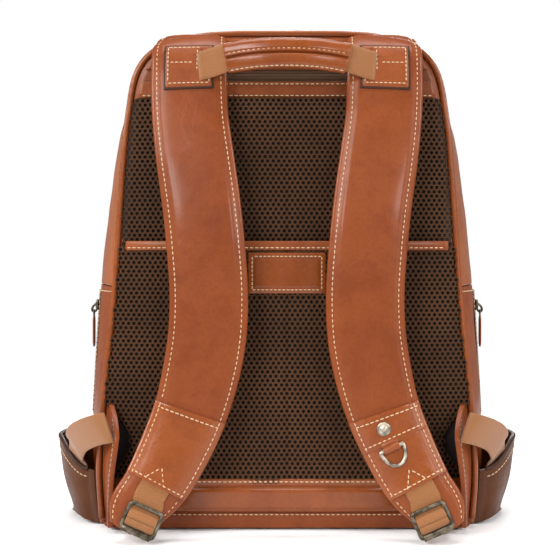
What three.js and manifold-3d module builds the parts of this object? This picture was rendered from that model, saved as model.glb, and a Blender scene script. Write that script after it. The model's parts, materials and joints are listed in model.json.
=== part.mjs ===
// Leather laptop backpack with padded shoulder straps and a luggage sleeve.
// Millimetres, +Z up. The harness side faces -Y and the pocket side faces +Y.
// The origin is the centre of the flat underside of the base.
import * as THREE from "three";
import Module from "manifold-3d";

const wasm = await Module();
wasm.setup();

// ---- driving dimensions ----
const GAP = 0.3; // clear space left between neighbouring pieces
const HALF_DEPTH = 75; // outer face of the back panel, and of the front panel, from the middle
const PANEL = 4; // back and front panel thickness
const LEATHER = 2.5; // lined leather wall
const BASE = 4; // base panel thickness
const SHOULDER_Z = 360; // where the straight sides turn into the arched top
const TOP_Z = 425; // top of the back panel
const ARCH_POWER = 4; // squareness of the arched top
const SHOULDER_TAPER = 0.15; // how fast the sides keep closing above the shoulder
const SIDE_SHARE = 0.68; // share of the half outline taken by the straight side
const SEAM_Z = 208; // cross seam where the opening flap folds
const ZIP_Y = 30; // middle of the main zip
const ZIP_TAPE = 14.7; // width of one zip tape
const WEB = 25; // width of all the webbing
const WEB_THICK = 1.4;
const OUTLINE_STEPS = 48; // straight pieces that stand in for the curved outline

// Half width of the back outline at a height: [z, x].
const HALF_WIDTHS = [
  [0, 157],
  [50, 160],
  [110, 156],
  [197, 147],
  [266, 142.5],
  [336, 137.5],
  [SHOULDER_Z, 134.5],
];

// How far the side walls belly out halfway between back and front: [z, bulge].
const BULGES = [
  [0, 12],
  [60, 18],
  [130, 21],
  [200, 24],
  [250, 23],
  [300, 19.5],
  [345, 15],
  [380, 10],
  [415, 7],
];

// Left shoulder strap centre line: [key, x, y, z, outer half width, inner half width].
const STRAP = [
  [0, -82.5, -81, 423, 30.5, 30.5],
  [1, -83, -90, 411, 31.5, 31.5],
  [2, -83, -96, 394, 31.5, 31.5],
  [3, -82.5, -101, 372, 31.5, 31.5],
  [4, -81, -106, 349, 31.5, 31.5],
  [5, -77, -111, 318, 32, 32],
  [6, -71.5, -115, 280, 32, 32],
  [7, -67.5, -117.5, 243, 32, 32],
  [8, -65, -118.5, 206, 32, 32],
  [9, -66, -118.5, 172, 32, 32],
  [10, -71, -118.5, 140, 31.5, 31.5],
  [11, -80, -119.5, 106, 30, 30],
  [12, -93, -122, 75, 28.5, 28.5],
  [13, -108, -126, 46, 26.5, 26],
  [14, -118, -128.5, 28.5, 29.5, 20],
  [15, -123.5, -129.5, 19, 30, 14],
];
const PATCH_TOP = 1.05; // handle patch, in keys down the strap
const PATCH_BOTTOM = 2.84;
const PATCH_HALF = 0.62; // its half width, as a share of the strap's
const END_SEAM_TOP = 11; // upper and lower seams of the end patch
const END_SEAM_BOTTOM = 13;
const DRING_SEAM = 11.66; // lower edge of the ring tab on the right strap
const PAD_BACK = -4.5; // heights over the strap centre line
const PAD_FRONT = 1.8;
const FACE_FRONT = 4.2;
const PATCH_FRONT = 6.3;
const STRAP_CROWN = 2;
const STRAP_STEPS = 30;

// Back trim, as heights over the base.
const PAD_TOP = 371; // top of the upper mesh pad
const SLEEVE_TOP = 248;
const SLEEVE_BAND = 8; // height of the leather band along the sleeve's mouth
const SLEEVE_MOUTH = 14; // clear height above the sleeve for what slides through it
const SLEEVE_LOW = 16;
const SLEEVE_GAP = 8; // how far the sleeve arches off the back
const SLEEVE = 3; // sleeve thickness
const BOTTOM_BAND_TOP = 44;
const YOKE_THICK = 2;
const LABEL = { half: 33, low: 203, high: 238, thick: 1.6 };
const PIPING = 2.4; // radius of the piping round the back
const LINING = { top: SEAM_Z - 5, side: 4, back: 3, wall: 1.2 };

// Zips, sliders and the lengths of their pullers.
const REAR_ZIP = { low: 386, high: 396, half: 104, sliderX: 88, sliderZ: 393 };
const SIDE_ZIP = { y: -4, half: 7, low: 92, high: 204, thick: 1.2, sliderZ: 190 };
const MAIN_SLIDER_X = 8;
const SLIDER = {
  along: 10,
  across: 8,
  high: 3,
  lug: 5.4,
  lugInner: 2.9,
  pivotX: 4.6,
  pivotZ: 3.9,
  knuckle: 1.4,
};
const PULLER = { main: 32, rear: 16, side: 34, front: 32, neck: 1.8, half: 4 };

// Pockets.
const POCKET = {
  half: 105,
  low: 30,
  high: 185,
  deep: 30,
  wall: 3,
  zipZ: 160,
  tapeHalf: 72,
  tapeHigh: 6,
  sliderX: -62,
};
const BOTTLE = {
  near: -60,
  far: 64,
  low: 0.5,
  deep: 26,
  shallow: 2.9,
  flare: 5,
  wall: 2.4,
  rimNear: 47,
  rimHigh: 69,
  round: 0.36,
};

// Ring tab on the right strap: the rivet and the ring sit at [keys below the seam, share across].
const RIVET = { at: [-0.29, 0.17], foot: 5.5, top: 4.6, high: 1.8, lift: 2.1 };
const RING = { at: [0.21, 0.185], bar: 20, drop: 15, wire: 1.5, lift: 2.3 };
const KEEPER = { outer: 3.1, bore: 1.9, half: 6, tail: 11 };

// Strap buckle: its outline, its seat on the strap, and the webbing through it.
const BUCKLE = {
  across: 31,
  along: 25,
  bar: 3.2,
  side: 2.7,
  middle: 3,
  thick: 3,
  key: 14.78,
  share: 0.26,
  turn: 0.27,
};
// Webbing stations in the buckle's own frame: [along, away] from its middle.
const WEB_ABOVE = [
  [-12, -2.9],
  [-8.5, -2.4],
  [-5, -0.4],
  [-2.4, 0.2],
];
const WEB_BELOW = [
  [2.4, 0.2],
  [5, -0.5],
  [8, -2.4],
  [11, -3.4],
  [12.8, -6.5],
  [12.9, -12],
];
const WEB_TAIL_Z = 8.9; // height where the lower webbing meets the back

// Wings beside the back: [z, reach away from the back], and the inward lean for each mm of reach.
const WING = [
  [5, 24],
  [40, 29],
  [80, 30],
  [95, 20],
  [107, 6],
];
const WING_LEAN = { foot: 0.2, rise: 0.0028 };

// Webbing from the left wing into its bottle pocket, and the direction of its width.
const SIDE_WEB = [
  [-152, -104, 90],
  [-161, -99, 87],
  [-171, -90, 82],
  [-179, -76, 75],
  [-182, -63, 71],
  [-180.5, -50.5, 64.5],
  [-182, -38, 45],
];
const SIDE_WEB_ACROSS = [0.5, 0, -0.85];

// Carry handle: the middle line of its webbing from the left end to the middle, and its leather grip.
const HANDLE_LINE = [
  [-72.5, -107.3, 395],
  [-61, -110, 398],
  [-49.5, -114, 401.5],
  [-25, -119, 404.5],
  [0, -120.5, 405.3],
];
const GRIP = { half: 49, high: 15, thick: 5.5, bore: 1.8, sides: 16, steps: 12 };

// ---- helpers ----
const lerp = (a, b, t) => a + (b - a) * t;
const vec = (p) => new THREE.Vector3(p[0], p[1], p[2]);

// Smooth curve through rows of [key, value, value ...], with the keys rising.
function through(rows, key) {
  let i = 0;
  while (i < rows.length - 2 && key > rows[i + 1][0]) i++;
  const before = rows[Math.max(i - 1, 0)];
  const from = rows[i];
  const to = rows[i + 1];
  const after = rows[Math.min(i + 2, rows.length - 1)];
  const span = to[0] - from[0];
  const t = THREE.MathUtils.clamp((key - from[0]) / span, 0, 1);
  const values = [];
  for (let k = 1; k < from.length; k++) {
    const slopeFrom = ((to[k] - before[k]) / (to[0] - before[0])) * span;
    const slopeTo = ((after[k] - from[k]) / (after[0] - from[0])) * span;
    const a = 2 * t ** 3 - 3 * t ** 2 + 1;
    const b = t ** 3 - 2 * t ** 2 + t;
    const c = 3 * t ** 2 - 2 * t ** 3;
    const d = t ** 3 - t ** 2;
    values.push(a * from[k] + b * slopeFrom + c * to[k] + d * slopeTo);
  }
  return values;
}

function volumeOf(points, faces) {
  let sum = 0;
  for (const [a, b, c] of faces) {
    const p = points[a];
    const q = points[b];
    const r = points[c];
    sum += p[0] * (q[1] * r[2] - q[2] * r[1]);
    sum += p[1] * (q[2] * r[0] - q[0] * r[2]);
    sum += p[2] * (q[0] * r[1] - q[1] * r[0]);
  }
  return sum / 6;
}

// Closed body from points and triangles, turned to face outwards.
function body(points, faces) {
  const outward = volumeOf(points, faces) > 0;
  const index = faces.flatMap(([a, b, c]) => (outward ? [a, b, c] : [a, c, b]));
  const geometry = new THREE.BufferGeometry();
  geometry.setAttribute("position", new THREE.Float32BufferAttribute(points.flat(), 3));
  geometry.setIndex(index);
  geometry.computeVertexNormals();
  return geometry;
}

// Skin between an outer and an inner surface, each a function of u and v in 0..1.
function slab(outer, inner, nu, nv) {
  const points = [];
  const faces = [];
  const row = nv + 1;
  const layer = (nu + 1) * row;
  for (const surface of [outer, inner]) {
    for (let i = 0; i <= nu; i++) {
      for (let j = 0; j <= nv; j++) points.push(surface(i / nu, j / nv));
    }
  }
  const quad = (a, b, c, d) => faces.push([a, b, c], [a, c, d]);
  for (let i = 0; i < nu; i++) {
    for (let j = 0; j < nv; j++) {
      const a = i * row + j;
      quad(a, a + 1, a + row + 1, a + row);
      quad(layer + a, layer + a + row, layer + a + row + 1, layer + a + 1);
    }
  }
  for (let i = 0; i < nu; i++) {
    const low = i * row;
    const high = low + nv;
    quad(low, low + row, layer + low + row, layer + low);
    quad(high, layer + high, layer + high + row, high + row);
  }
  for (let j = 0; j < nv; j++) {
    const end = nu * row + j;
    quad(j, layer + j, layer + j + 1, j + 1);
    quad(end, end + 1, layer + end + 1, layer + end);
  }
  return body(points, faces);
}

// Solid through a list of rings with the same number of points each, capped at both ends.
function stack(rings) {
  const count = rings[0].length;
  const points = rings.flat();
  const faces = [];
  for (let r = 0; r < rings.length - 1; r++) {
    for (let i = 0; i < count; i++) {
      const a = r * count + i;
      const b = r * count + ((i + 1) % count);
      faces.push([a, b, b + count], [a, b + count, a + count]);
    }
  }
  for (const [ring, flip] of [[0, true], [rings.length - 1, false]]) {
    const middle = points.length;
    const sum = [0, 0, 0];
    for (const p of rings[ring]) p.forEach((value, k) => (sum[k] += value / count));
    points.push(sum);
    for (let i = 0; i < count; i++) {
      const a = ring * count + i;
      const b = ring * count + ((i + 1) % count);
      faces.push(flip ? [middle, b, a] : [middle, a, b]);
    }
  }
  return body(points, faces);
}

// Solid whose rings close on themselves, such as a sleeve or a ring.
function loop(rings) {
  const count = rings[0].length;
  const points = rings.flat();
  const faces = [];
  for (let r = 0; r < rings.length; r++) {
    for (let i = 0; i < count; i++) {
      const next = ((r + 1) % rings.length) * count;
      const a = r * count + i;
      const b = r * count + ((i + 1) % count);
      const c = next + ((i + 1) % count);
      const d = next + i;
      faces.push([a, b, c], [a, c, d]);
    }
  }
  return body(points, faces);
}

function plain(geometry) {
  const flat = geometry.index ? geometry.toNonIndexed() : geometry;
  const array = flat.getAttribute("position").array;
  const points = [];
  const faces = [];
  const seen = new Map();
  const indexOf = (i) => {
    const p = [array[i * 3], array[i * 3 + 1], array[i * 3 + 2]];
    const key = p.map((value) => Math.round(value * 1e4)).join();
    if (!seen.has(key)) {
      seen.set(key, points.length);
      points.push(p);
    }
    return seen.get(key);
  };
  for (let i = 0; i < array.length / 3; i += 3) {
    const face = [indexOf(i), indexOf(i + 1), indexOf(i + 2)];
    if (new Set(face).size === 3) faces.push(face);
  }
  return { points, faces };
}

// Moves every point of a geometry with a function, keeping it facing outwards.
function moved(geometry, move) {
  const { points, faces } = plain(geometry);
  return body(points.map(move), faces);
}

const mirrored = (geometry) => moved(geometry, (p) => [-p[0], p[1], p[2]]);

// Flat plate in the XZ plane from its outline, between two depths.
function plateXZ(outline, y0, y1, hole) {
  const shape = new THREE.Shape(outline.map(([x, z]) => new THREE.Vector2(x, z)));
  if (hole) shape.holes.push(new THREE.Path(hole.map(([x, z]) => new THREE.Vector2(x, z))));
  const solid = new THREE.ExtrudeGeometry(shape, { depth: 1, bevelEnabled: false });
  return moved(solid, (p) => [p[0], lerp(y0, y1, p[2]), p[1]]);
}

function box(x0, x1, y0, y1, z0, z1) {
  const solid = new THREE.BoxGeometry(x1 - x0, y1 - y0, z1 - z0);
  return solid.translate((x0 + x1) / 2, (y0 + y1) / 2, (z0 + z1) / 2);
}

function manifold(geometry) {
  const { points, faces } = plain(geometry);
  return new wasm.Manifold(
    new wasm.Mesh({
      numProp: 3,
      vertProperties: new Float32Array(points.flat()),
      triVerts: new Uint32Array(faces.flat()),
    }),
  );
}

function fromManifold(solid) {
  const mesh = solid.getMesh();
  const points = [];
  for (let i = 0; i < mesh.numVert; i++) {
    points.push([...mesh.vertProperties.slice(i * mesh.numProp, i * mesh.numProp + 3)]);
  }
  const faces = [];
  for (let i = 0; i < mesh.numTri; i++) faces.push([...mesh.triVerts.slice(i * 3, i * 3 + 3)]);
  return body(points, faces);
}

const joined = (...parts) => fromManifold(wasm.Manifold.union(parts.map(manifold)));
const cut = (from, ...tools) =>
  fromManifold(tools.reduce((left, tool) => left.subtract(manifold(tool)), manifold(from)));

// Ring of points on a rounded rectangle: half sizes a and b, squareness power.
function roundedRing(a, b, power, count, place) {
  const ring = [];
  for (let i = 0; i < count; i++) {
    const angle = (2 * Math.PI * i) / count;
    const c = Math.cos(angle);
    const s = Math.sin(angle);
    const r = (Math.abs(c) ** power + Math.abs(s) ** power) ** (-1 / power);
    ring.push(place(a * r * c, b * r * s));
  }
  return ring;
}

// Flat ribbon through stations of [x, y, z, across x, across y, across z].
function ribbon(stations, width, thick, steps) {
  const rows = stations.map((station, i) => [i, ...station]);
  const last = rows.length - 1;
  const rings = [];
  for (let i = 0; i <= steps; i++) {
    const key = (i / steps) * last;
    const here = through(rows, key);
    const ahead = vec(through(rows, Math.min(key + 0.01, last)));
    const behind = vec(through(rows, Math.max(key - 0.01, 0)));
    const run = ahead.sub(behind).normalize();
    const across = vec(here.slice(3)).projectOnPlane(run).normalize();
    const normal = run.clone().cross(across);
    const corner = (a, n) => vec(here).addScaledVector(across, a).addScaledVector(normal, n).toArray();
    const w = width / 2;
    const t = thick / 2;
    rings.push([corner(-w, -t), corner(w, -t), corner(w, t), corner(-w, t)]);
  }
  return stack(rings);
}

// Round bar along a path of points, its section set square to a level direction.
function rod(path, radius, sides, level, closed) {
  const count = path.length;
  const rings = path.map((point, i) => {
    const ahead = vec(path[closed ? (i + 1) % count : Math.min(i + 1, count - 1)]);
    const behind = vec(path[closed ? (i + count - 1) % count : Math.max(i - 1, 0)]);
    const run = ahead.sub(behind).normalize();
    const side = vec(level).projectOnPlane(run).normalize();
    const up = run.clone().cross(side);
    return roundedRing(radius, radius, 2, sides, (a, b) =>
      vec(point).addScaledVector(side, a).addScaledVector(up, b).toArray(),
    );
  });
  return closed ? loop(rings) : stack(rings);
}

// ---- bag outline ----
// Right half of the back outline, from the base (q = 0) to the middle of the top (q = 1).
function halfOutline(q) {
  if (q <= SIDE_SHARE) {
    const z = (q / SIDE_SHARE) * SHOULDER_Z;
    return [through(HALF_WIDTHS, z)[0], z];
  }
  const angle = ((q - SIDE_SHARE) / (1 - SIDE_SHARE)) * (Math.PI / 2);
  const c = Math.cos(angle);
  const s = Math.sin(angle);
  const r = (c ** ARCH_POWER + s ** ARCH_POWER) ** (-1 / ARCH_POWER);
  const rise = (TOP_Z - SHOULDER_Z) * r * s;
  const shoulder = HALF_WIDTHS[HALF_WIDTHS.length - 1][1];
  return [(shoulder - SHOULDER_TAPER * rise) * r * c, SHOULDER_Z + rise];
}

const shareAt = (z) => (z / SHOULDER_Z) * SIDE_SHARE;

// Whole outline: s = 0 at the left base, 0.5 at the middle of the top, 1 at the right base.
function outlineAt(s) {
  const half = halfOutline(s <= 0.5 ? s * 2 : (1 - s) * 2);
  return s <= 0.5 ? [-half[0], half[1]] : half;
}

function outwardAt(s) {
  const a = outlineAt(Math.max(s - 0.004, 0));
  const b = outlineAt(Math.min(s + 0.004, 1));
  const length = Math.hypot(b[0] - a[0], b[1] - a[1]);
  return [-(b[1] - a[1]) / length, (b[0] - a[0]) / length];
}

const bulgeAt = (z, y) => {
  const v = (y + HALF_DEPTH) / (2 * HALF_DEPTH);
  return 4 * v * (1 - v) * through(BULGES, Math.min(z, BULGES[BULGES.length - 1][0]))[0];
};

// Point on the wall of the bag at depth y, pushed in by an inset.
function wallAt(s, y, inset) {
  const [x, z] = outlineAt(s);
  const [nx, nz] = outwardAt(s);
  const out = bulgeAt(z, y) - inset;
  return [x + nx * out, y, z + nz * out];
}

function wall(s0, s1, y0, y1, outerInset, thick, nu, nv) {
  return slab(
    (u, v) => wallAt(lerp(s0, s1, u), lerp(y0, y1, v), outerInset),
    (u, v) => wallAt(lerp(s0, s1, u), lerp(y0, y1, v), outerInset + thick),
    nu,
    nv,
  );
}

// Outline polygon of the part of the back above z0.
function outlineAbove(z0, inset, steps) {
  const from = shareAt(z0) / 2;
  const points = [];
  for (let i = 0; i <= steps; i++) {
    const s = lerp(from, 1 - from, i / steps);
    const [x, z] = outlineAt(s);
    const [nx, nz] = outwardAt(s);
    points.push([x - nx * inset, i === 0 || i === steps ? z0 : z - nz * inset]);
  }
  return points;
}

// Outline polygon of the part of the back between two heights.
function outlineBetween(z0, z1, steps) {
  const right = [];
  for (let i = 0; i <= steps; i++) {
    const z = lerp(z0, z1, i / steps);
    right.push([through(HALF_WIDTHS, z)[0], z]);
  }
  return [...right, ...right.map(([x, z]) => [-x, z]).reverse()];
}

// Right wall of the bag at a height and depth.
const sideX = (z, y) => through(HALF_WIDTHS, z)[0] + bulgeAt(z, y);

// ---- strap surface ----
// t: key down the strap, w: -1 at the outer edge and 1 at the inner edge.
function strapAt(t, w, lift) {
  const [x, y, z, outer, inner] = through(STRAP, t);
  const last = STRAP.length - 1;
  const ahead = vec(through(STRAP, Math.min(t + 0.05, last)));
  const behind = vec(through(STRAP, Math.max(t - 0.05, 0)));
  const run = ahead.sub(behind).normalize();
  const across = new THREE.Vector3(-run.z, 0, run.x).normalize();
  const normal = run.clone().cross(across);
  const point = new THREE.Vector3(x, y, z);
  point.addScaledVector(across, w * (w < 0 ? outer : inner));
  point.addScaledVector(normal, lift + STRAP_CROWN * (1 - w * w));
  return point.toArray();
}

function strapLayer(t0, t1, w0, w1, back, front, nu, nv) {
  return slab(
    (u, v) => strapAt(lerp(t0, t1, u), lerp(w0, w1, v), front),
    (u, v) => strapAt(lerp(t0, t1, u), lerp(w0, w1, v), back),
    nu,
    nv,
  );
}

// ---- colours ----
const material = (color, roughness, metalness) =>
  new THREE.MeshStandardMaterial({ color, roughness, metalness: metalness || 0 });
const TAN = () => material(0x9a4e29, 0.5);
const DEEP = () => material(0x83492a, 0.55);
const MESH = () => material(0x54402c, 0.9);
const WEBBING = () => material(0xb87d52, 0.85);
const TAPE = () => material(0x5a3a22, 0.85);
const METAL = () => material(0x7d6a58, 0.35, 0.9);
const CLOTH = () => material(0x6b5a48, 0.9);

const group = new THREE.Group();
function add(name, geometry, look) {
  const mesh = new THREE.Mesh(geometry, look);
  mesh.name = name;
  group.add(mesh);
}

// Adds a left piece and its mirror image on the right.
function addPair(name, geometry, look) {
  add(name + "_left", geometry, look());
  add(name + "_right", mirrored(geometry), look());
}

// ---- shell ----
const inner = HALF_DEPTH - PANEL - GAP;
add("back_panel", plateXZ(outlineAbove(0.4, 0, OUTLINE_STEPS), -HALF_DEPTH, -HALF_DEPTH + PANEL), DEEP());
const frontInside = HALF_DEPTH - PANEL;
add("front_panel_lower", plateXZ(outlineBetween(0.4, SEAM_Z - 0.4, 8), frontInside, HALF_DEPTH), TAN());
add("front_panel_upper", plateXZ(outlineAbove(SEAM_Z + 0.4, 0, 36), frontInside, HALF_DEPTH), TAN());

const baseRing = [];
for (let i = 0; i <= 8; i++) {
  const y = lerp(-inner, inner, i / 8);
  baseRing.push([through(HALF_WIDTHS, 2)[0] + bulgeAt(2, y), y]);
}
const baseOutline = [...baseRing, ...baseRing.map(([x, y]) => [-x, y]).reverse()];
const baseShape = new THREE.Shape(baseOutline.map(([x, y]) => new THREE.Vector2(x, y)));
add("base_panel", new THREE.ExtrudeGeometry(baseShape, { depth: BASE, bevelEnabled: false }), TAN());

const seamLow = shareAt(SEAM_Z - 0.4) / 2;
const seamHigh = shareAt(SEAM_Z + 0.4) / 2;
const footing = shareAt(BASE + 1.2) / 2;
addPair("side_gusset", wall(footing, seamLow, -inner, inner, 0, LEATHER, 10, 10), TAN);

const zipEdge = ZIP_Y - ZIP_TAPE - GAP / 2;
const zipFar = ZIP_Y + ZIP_TAPE + GAP / 2;
add("top_gusset_rear", wall(seamHigh, 1 - seamHigh, -inner, zipEdge - GAP, 0, LEATHER, 36, 4), TAN());
add("main_zip_rear", wall(seamHigh, 1 - seamHigh, zipEdge, ZIP_Y - GAP / 2, 0.3, 1.5, 36, 1), TAPE());
add("main_zip_front", wall(seamHigh, 1 - seamHigh, ZIP_Y + GAP / 2, zipFar, 0.3, 1.5, 36, 1), TAPE());
add("top_gusset_front", wall(seamHigh, 1 - seamHigh, zipFar + GAP, inner, 0, LEATHER, 36, 2), TAN());

// ---- back piping ----
const pipingPath = [];
const outlineFoot = shareAt(0.4) / 2;
for (let i = 1; i < OUTLINE_STEPS; i++) {
  const s = lerp(outlineFoot, 1 - outlineFoot, i / OUTLINE_STEPS);
  const [x, z] = outlineAt(s);
  const [nx, nz] = outwardAt(s);
  const out = PIPING + 0.7;
  pipingPath.push([x + nx * out, -HALF_DEPTH + 1.8, z + nz * out]);
}
add("back_piping", rod(pipingPath, PIPING, 6, [0, 1, 0], false), TAN());

// ---- lining ----
function liningRing(z, inset) {
  const x = through(HALF_WIDTHS, z)[0] - LINING.side - inset;
  const y = inner - LINING.back - inset;
  return roundedRing(x, y, 8, 32, (a, b) => [a, b, z]);
}
const liningLow = BASE + 0.5;
add(
  "lining",
  stack([
    liningRing(liningLow, 0),
    liningRing(70, 0),
    liningRing(LINING.top, 0),
    liningRing(LINING.top, LINING.wall),
    liningRing(70, LINING.wall),
    liningRing(liningLow + LINING.wall, LINING.wall),
  ]),
  CLOTH(),
);

// ---- back panel trim ----
const backFace = -HALF_DEPTH - GAP;

// Layer on the back between two heights; reach gives its front depth at a share across.
function backLayer(z0, z1, inset, rear, front, nu, nv) {
  const half = (z) => (z > SHOULDER_Z ? halfWidthAbove(z) : through(HALF_WIDTHS, z)[0]) - inset;
  const at = (depth) => (u, v) => {
    const z = lerp(z0, z1, v);
    const w = lerp(-1, 1, u);
    return [w * half(z), depth(w, v), z];
  };
  return slab(at(front), at(rear), nu, nv);
}

// Half width of the arched top at a height, by walking the outline.
function halfWidthAbove(z) {
  let low = SIDE_SHARE;
  let high = 1;
  for (let i = 0; i < 30; i++) {
    const middle = (low + high) / 2;
    if (halfOutline(middle)[1] < z) low = middle;
    else high = middle;
  }
  return halfOutline(low)[0];
}

const crowned = (rise) => (w) => -rise * (1 - Math.abs(w) ** 4);
add(
  "mesh_pad_upper",
  backLayer(
    SLEEVE_TOP + SLEEVE_MOUTH,
    PAD_TOP,
    5,
    () => backFace,
    (w) => backFace - 4 + crowned(5)(w),
    12,
    4,
  ),
  MESH(),
);

// The sleeve arches over the panel and is open at its top and bottom.
const sleeveRear = (w) => backFace - 0.4 + crowned(SLEEVE_GAP)(w);
add(
  "luggage_sleeve",
  backLayer(
    BOTTOM_BAND_TOP + GAP,
    SLEEVE_TOP - SLEEVE_BAND - GAP,
    8,
    sleeveRear,
    (w) => sleeveRear(w) - SLEEVE,
    16,
    4,
  ),
  MESH(),
);
add(
  "sleeve_top_band",
  backLayer(SLEEVE_TOP - SLEEVE_BAND, SLEEVE_TOP, 8, sleeveRear, (w) => sleeveRear(w) - SLEEVE - 0.6, 16, 1),
  DEEP(),
);
add(
  "sleeve_bottom_band",
  backLayer(SLEEVE_LOW, BOTTOM_BAND_TOP, 8, sleeveRear, (w) => sleeveRear(w) - SLEEVE - 0.6, 16, 2),
  TAN(),
);
const labelFace = (x) => sleeveRear(x / 145) - SLEEVE - GAP;
add(
  "label_patch",
  slab(
    (u, v) => {
      const x = lerp(-LABEL.half, LABEL.half, u);
      return [x, labelFace(x) - LABEL.thick, lerp(LABEL.low, LABEL.high, v)];
    },
    (u, v) => {
      const x = lerp(-LABEL.half, LABEL.half, u);
      return [x, labelFace(x), lerp(LABEL.low, LABEL.high, v)];
    },
    4,
    1,
  ),
  DEEP(),
);

// Leather yoke across the top of the back, with the slot of the rear pocket.
const yokeOutline = outlineAbove(SHOULDER_Z, 3.5, 40).filter(([, z]) => z > PAD_TOP + 1);
yokeOutline.unshift([-halfWidthAbove(PAD_TOP + 0.5) + 4, PAD_TOP + 0.5]);
yokeOutline.push([halfWidthAbove(PAD_TOP + 0.5) - 4, PAD_TOP + 0.5]);
const rearSlot = [
  [-REAR_ZIP.half, REAR_ZIP.low],
  [REAR_ZIP.half, REAR_ZIP.low],
  [REAR_ZIP.half, REAR_ZIP.high],
  [-REAR_ZIP.half, REAR_ZIP.high],
];
add("rear_yoke", plateXZ(yokeOutline, backFace - YOKE_THICK, backFace, rearSlot), DEEP());
add(
  "rear_zip_tape",
  box(
    -REAR_ZIP.half + GAP,
    REAR_ZIP.half - GAP,
    backFace - 1.2,
    backFace,
    REAR_ZIP.low + GAP,
    REAR_ZIP.high - GAP,
  ),
  TAPE(),
);

// ---- zip sliders and pullers ----
// Local frame: puller lies along +X, the zip runs under the body, +Z points away from it.
const lugFrom = SLIDER.pivotX - 2;
const lugTo = SLIDER.pivotX + 1.6;
const sliderBody = joined(
  box(-SLIDER.along / 2, SLIDER.along / 2, -SLIDER.across / 2, SLIDER.across / 2, 0, SLIDER.high),
  box(lugFrom, lugTo, -SLIDER.across / 2, -SLIDER.lugInner, 0.6, SLIDER.lug),
  box(lugFrom, lugTo, SLIDER.lugInner, SLIDER.across / 2, 0.6, SLIDER.lug),
);

// Puller of a given length whose round knuckle turns between the slider's lugs.
function pullerBody(length) {
  const knuckle = new THREE.CylinderGeometry(SLIDER.knuckle, SLIDER.knuckle, 5.2, 16);
  knuckle.translate(SLIDER.pivotX, 0, SLIDER.pivotZ + 0.6);
  const tabLow = SLIDER.pivotZ - 0.2;
  const tabHigh = SLIDER.pivotZ + 1.4;
  return joined(
    knuckle,
    box(SLIDER.pivotX, SLIDER.pivotX + 6, -PULLER.neck, PULLER.neck, tabLow, tabHigh),
    box(SLIDER.pivotX + 5, SLIDER.pivotX + length, -PULLER.half, PULLER.half, tabLow - 0.3, tabHigh + 0.3),
  );
}

// Places local geometry with the directions its X, Y and Z axes should take.
function placed(geometry, at, xAxis, yAxis, zAxis) {
  return moved(geometry, (p) => [
    at[0] + p[0] * xAxis[0] + p[1] * yAxis[0] + p[2] * zAxis[0],
    at[1] + p[0] * xAxis[1] + p[1] * yAxis[1] + p[2] * zAxis[1],
    at[2] + p[0] * xAxis[2] + p[1] * yAxis[2] + p[2] * zAxis[2],
  ]);
}
const X = [1, 0, 0];
const Y = [0, 1, 0];
const Z = [0, 0, 1];
const DOWN = [0, 0, -1];
const LEFT = [-1, 0, 0];
const BACK = [0, -1, 0];

// Main zip: two sliders meeting at the middle of the top.
const topZ = wallAt(0.5, ZIP_Y, 0)[2];
const mainSeat = [-MAIN_SLIDER_X, ZIP_Y, topZ + 0.3];
addPair("main_slider", placed(sliderBody, mainSeat, LEFT, Y, Z), METAL);
addPair("main_puller", placed(pullerBody(PULLER.main), mainSeat, LEFT, Y, Z), TAN);

// Rear pocket slider, parked behind the right strap.
const rearSeat = [REAR_ZIP.sliderX, backFace - YOKE_THICK - 0.4, REAR_ZIP.sliderZ];
add("rear_zip_slider", placed(sliderBody, rearSeat, DOWN, X, BACK), METAL());
add("rear_zip_puller", placed(pullerBody(PULLER.rear), rearSeat, DOWN, X, BACK), TAN());

// Side zips: a tape down each side wall with its slider at the top.
addPair(
  "side_zip",
  slab(
    (u, v) => {
      const z = lerp(SIDE_ZIP.low, SIDE_ZIP.high, u);
      const y = SIDE_ZIP.y + lerp(-SIDE_ZIP.half, SIDE_ZIP.half, v);
      return [-sideX(z, y) - GAP - SIDE_ZIP.thick, y, z];
    },
    (u, v) => {
      const z = lerp(SIDE_ZIP.low, SIDE_ZIP.high, u);
      const y = SIDE_ZIP.y + lerp(-SIDE_ZIP.half, SIDE_ZIP.half, v);
      return [-sideX(z, y) - GAP, y, z];
    },
    8,
    2,
  ),
  TAPE,
);
const sideSeatX = -sideX(SIDE_ZIP.sliderZ, SIDE_ZIP.y) - GAP - SIDE_ZIP.thick - 0.5;
const sideSeat = [sideSeatX, SIDE_ZIP.y, SIDE_ZIP.sliderZ];
addPair("side_slider", placed(sliderBody, sideSeat, DOWN, Y, LEFT), METAL);
addPair("side_puller", placed(pullerBody(PULLER.side), sideSeat, DOWN, Y, LEFT), TAN);

// ---- front pocket ----
function pocketAt(inset) {
  const ease = (u) => {
    const a = 2 * u - 1;
    return Math.sign(a) * (1 - (1 - Math.abs(a)) ** 2.2);
  };
  return (u, v) => {
    const a = ease(u);
    const b = ease(v);
    const rise = (POCKET.deep - inset) * (1 - Math.abs(a) ** 8) * (1 - Math.abs(b) ** 8);
    const x = a * (POCKET.half - inset);
    const z = lerp(POCKET.low, POCKET.high, 0.5) + b * ((POCKET.high - POCKET.low) / 2 - inset);
    return [x, HALF_DEPTH + GAP + rise, z];
  };
}
add("front_pocket", slab(pocketAt(0), pocketAt(POCKET.wall), 12, 10), TAN());
const pocketFace = HALF_DEPTH + GAP + POCKET.deep;
const pocketTapeLow = POCKET.zipZ - POCKET.tapeHigh;
const pocketTapeHigh = POCKET.zipZ + POCKET.tapeHigh;
add(
  "front_pocket_zip_tape",
  box(-POCKET.tapeHalf, POCKET.tapeHalf, pocketFace + GAP, pocketFace + 1.5, pocketTapeLow, pocketTapeHigh),
  TAPE(),
);
const frontSeat = [POCKET.sliderX, pocketFace + 1.9, POCKET.zipZ];
add("front_pocket_slider", placed(sliderBody, frontSeat, DOWN, LEFT, Y), METAL());
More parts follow.
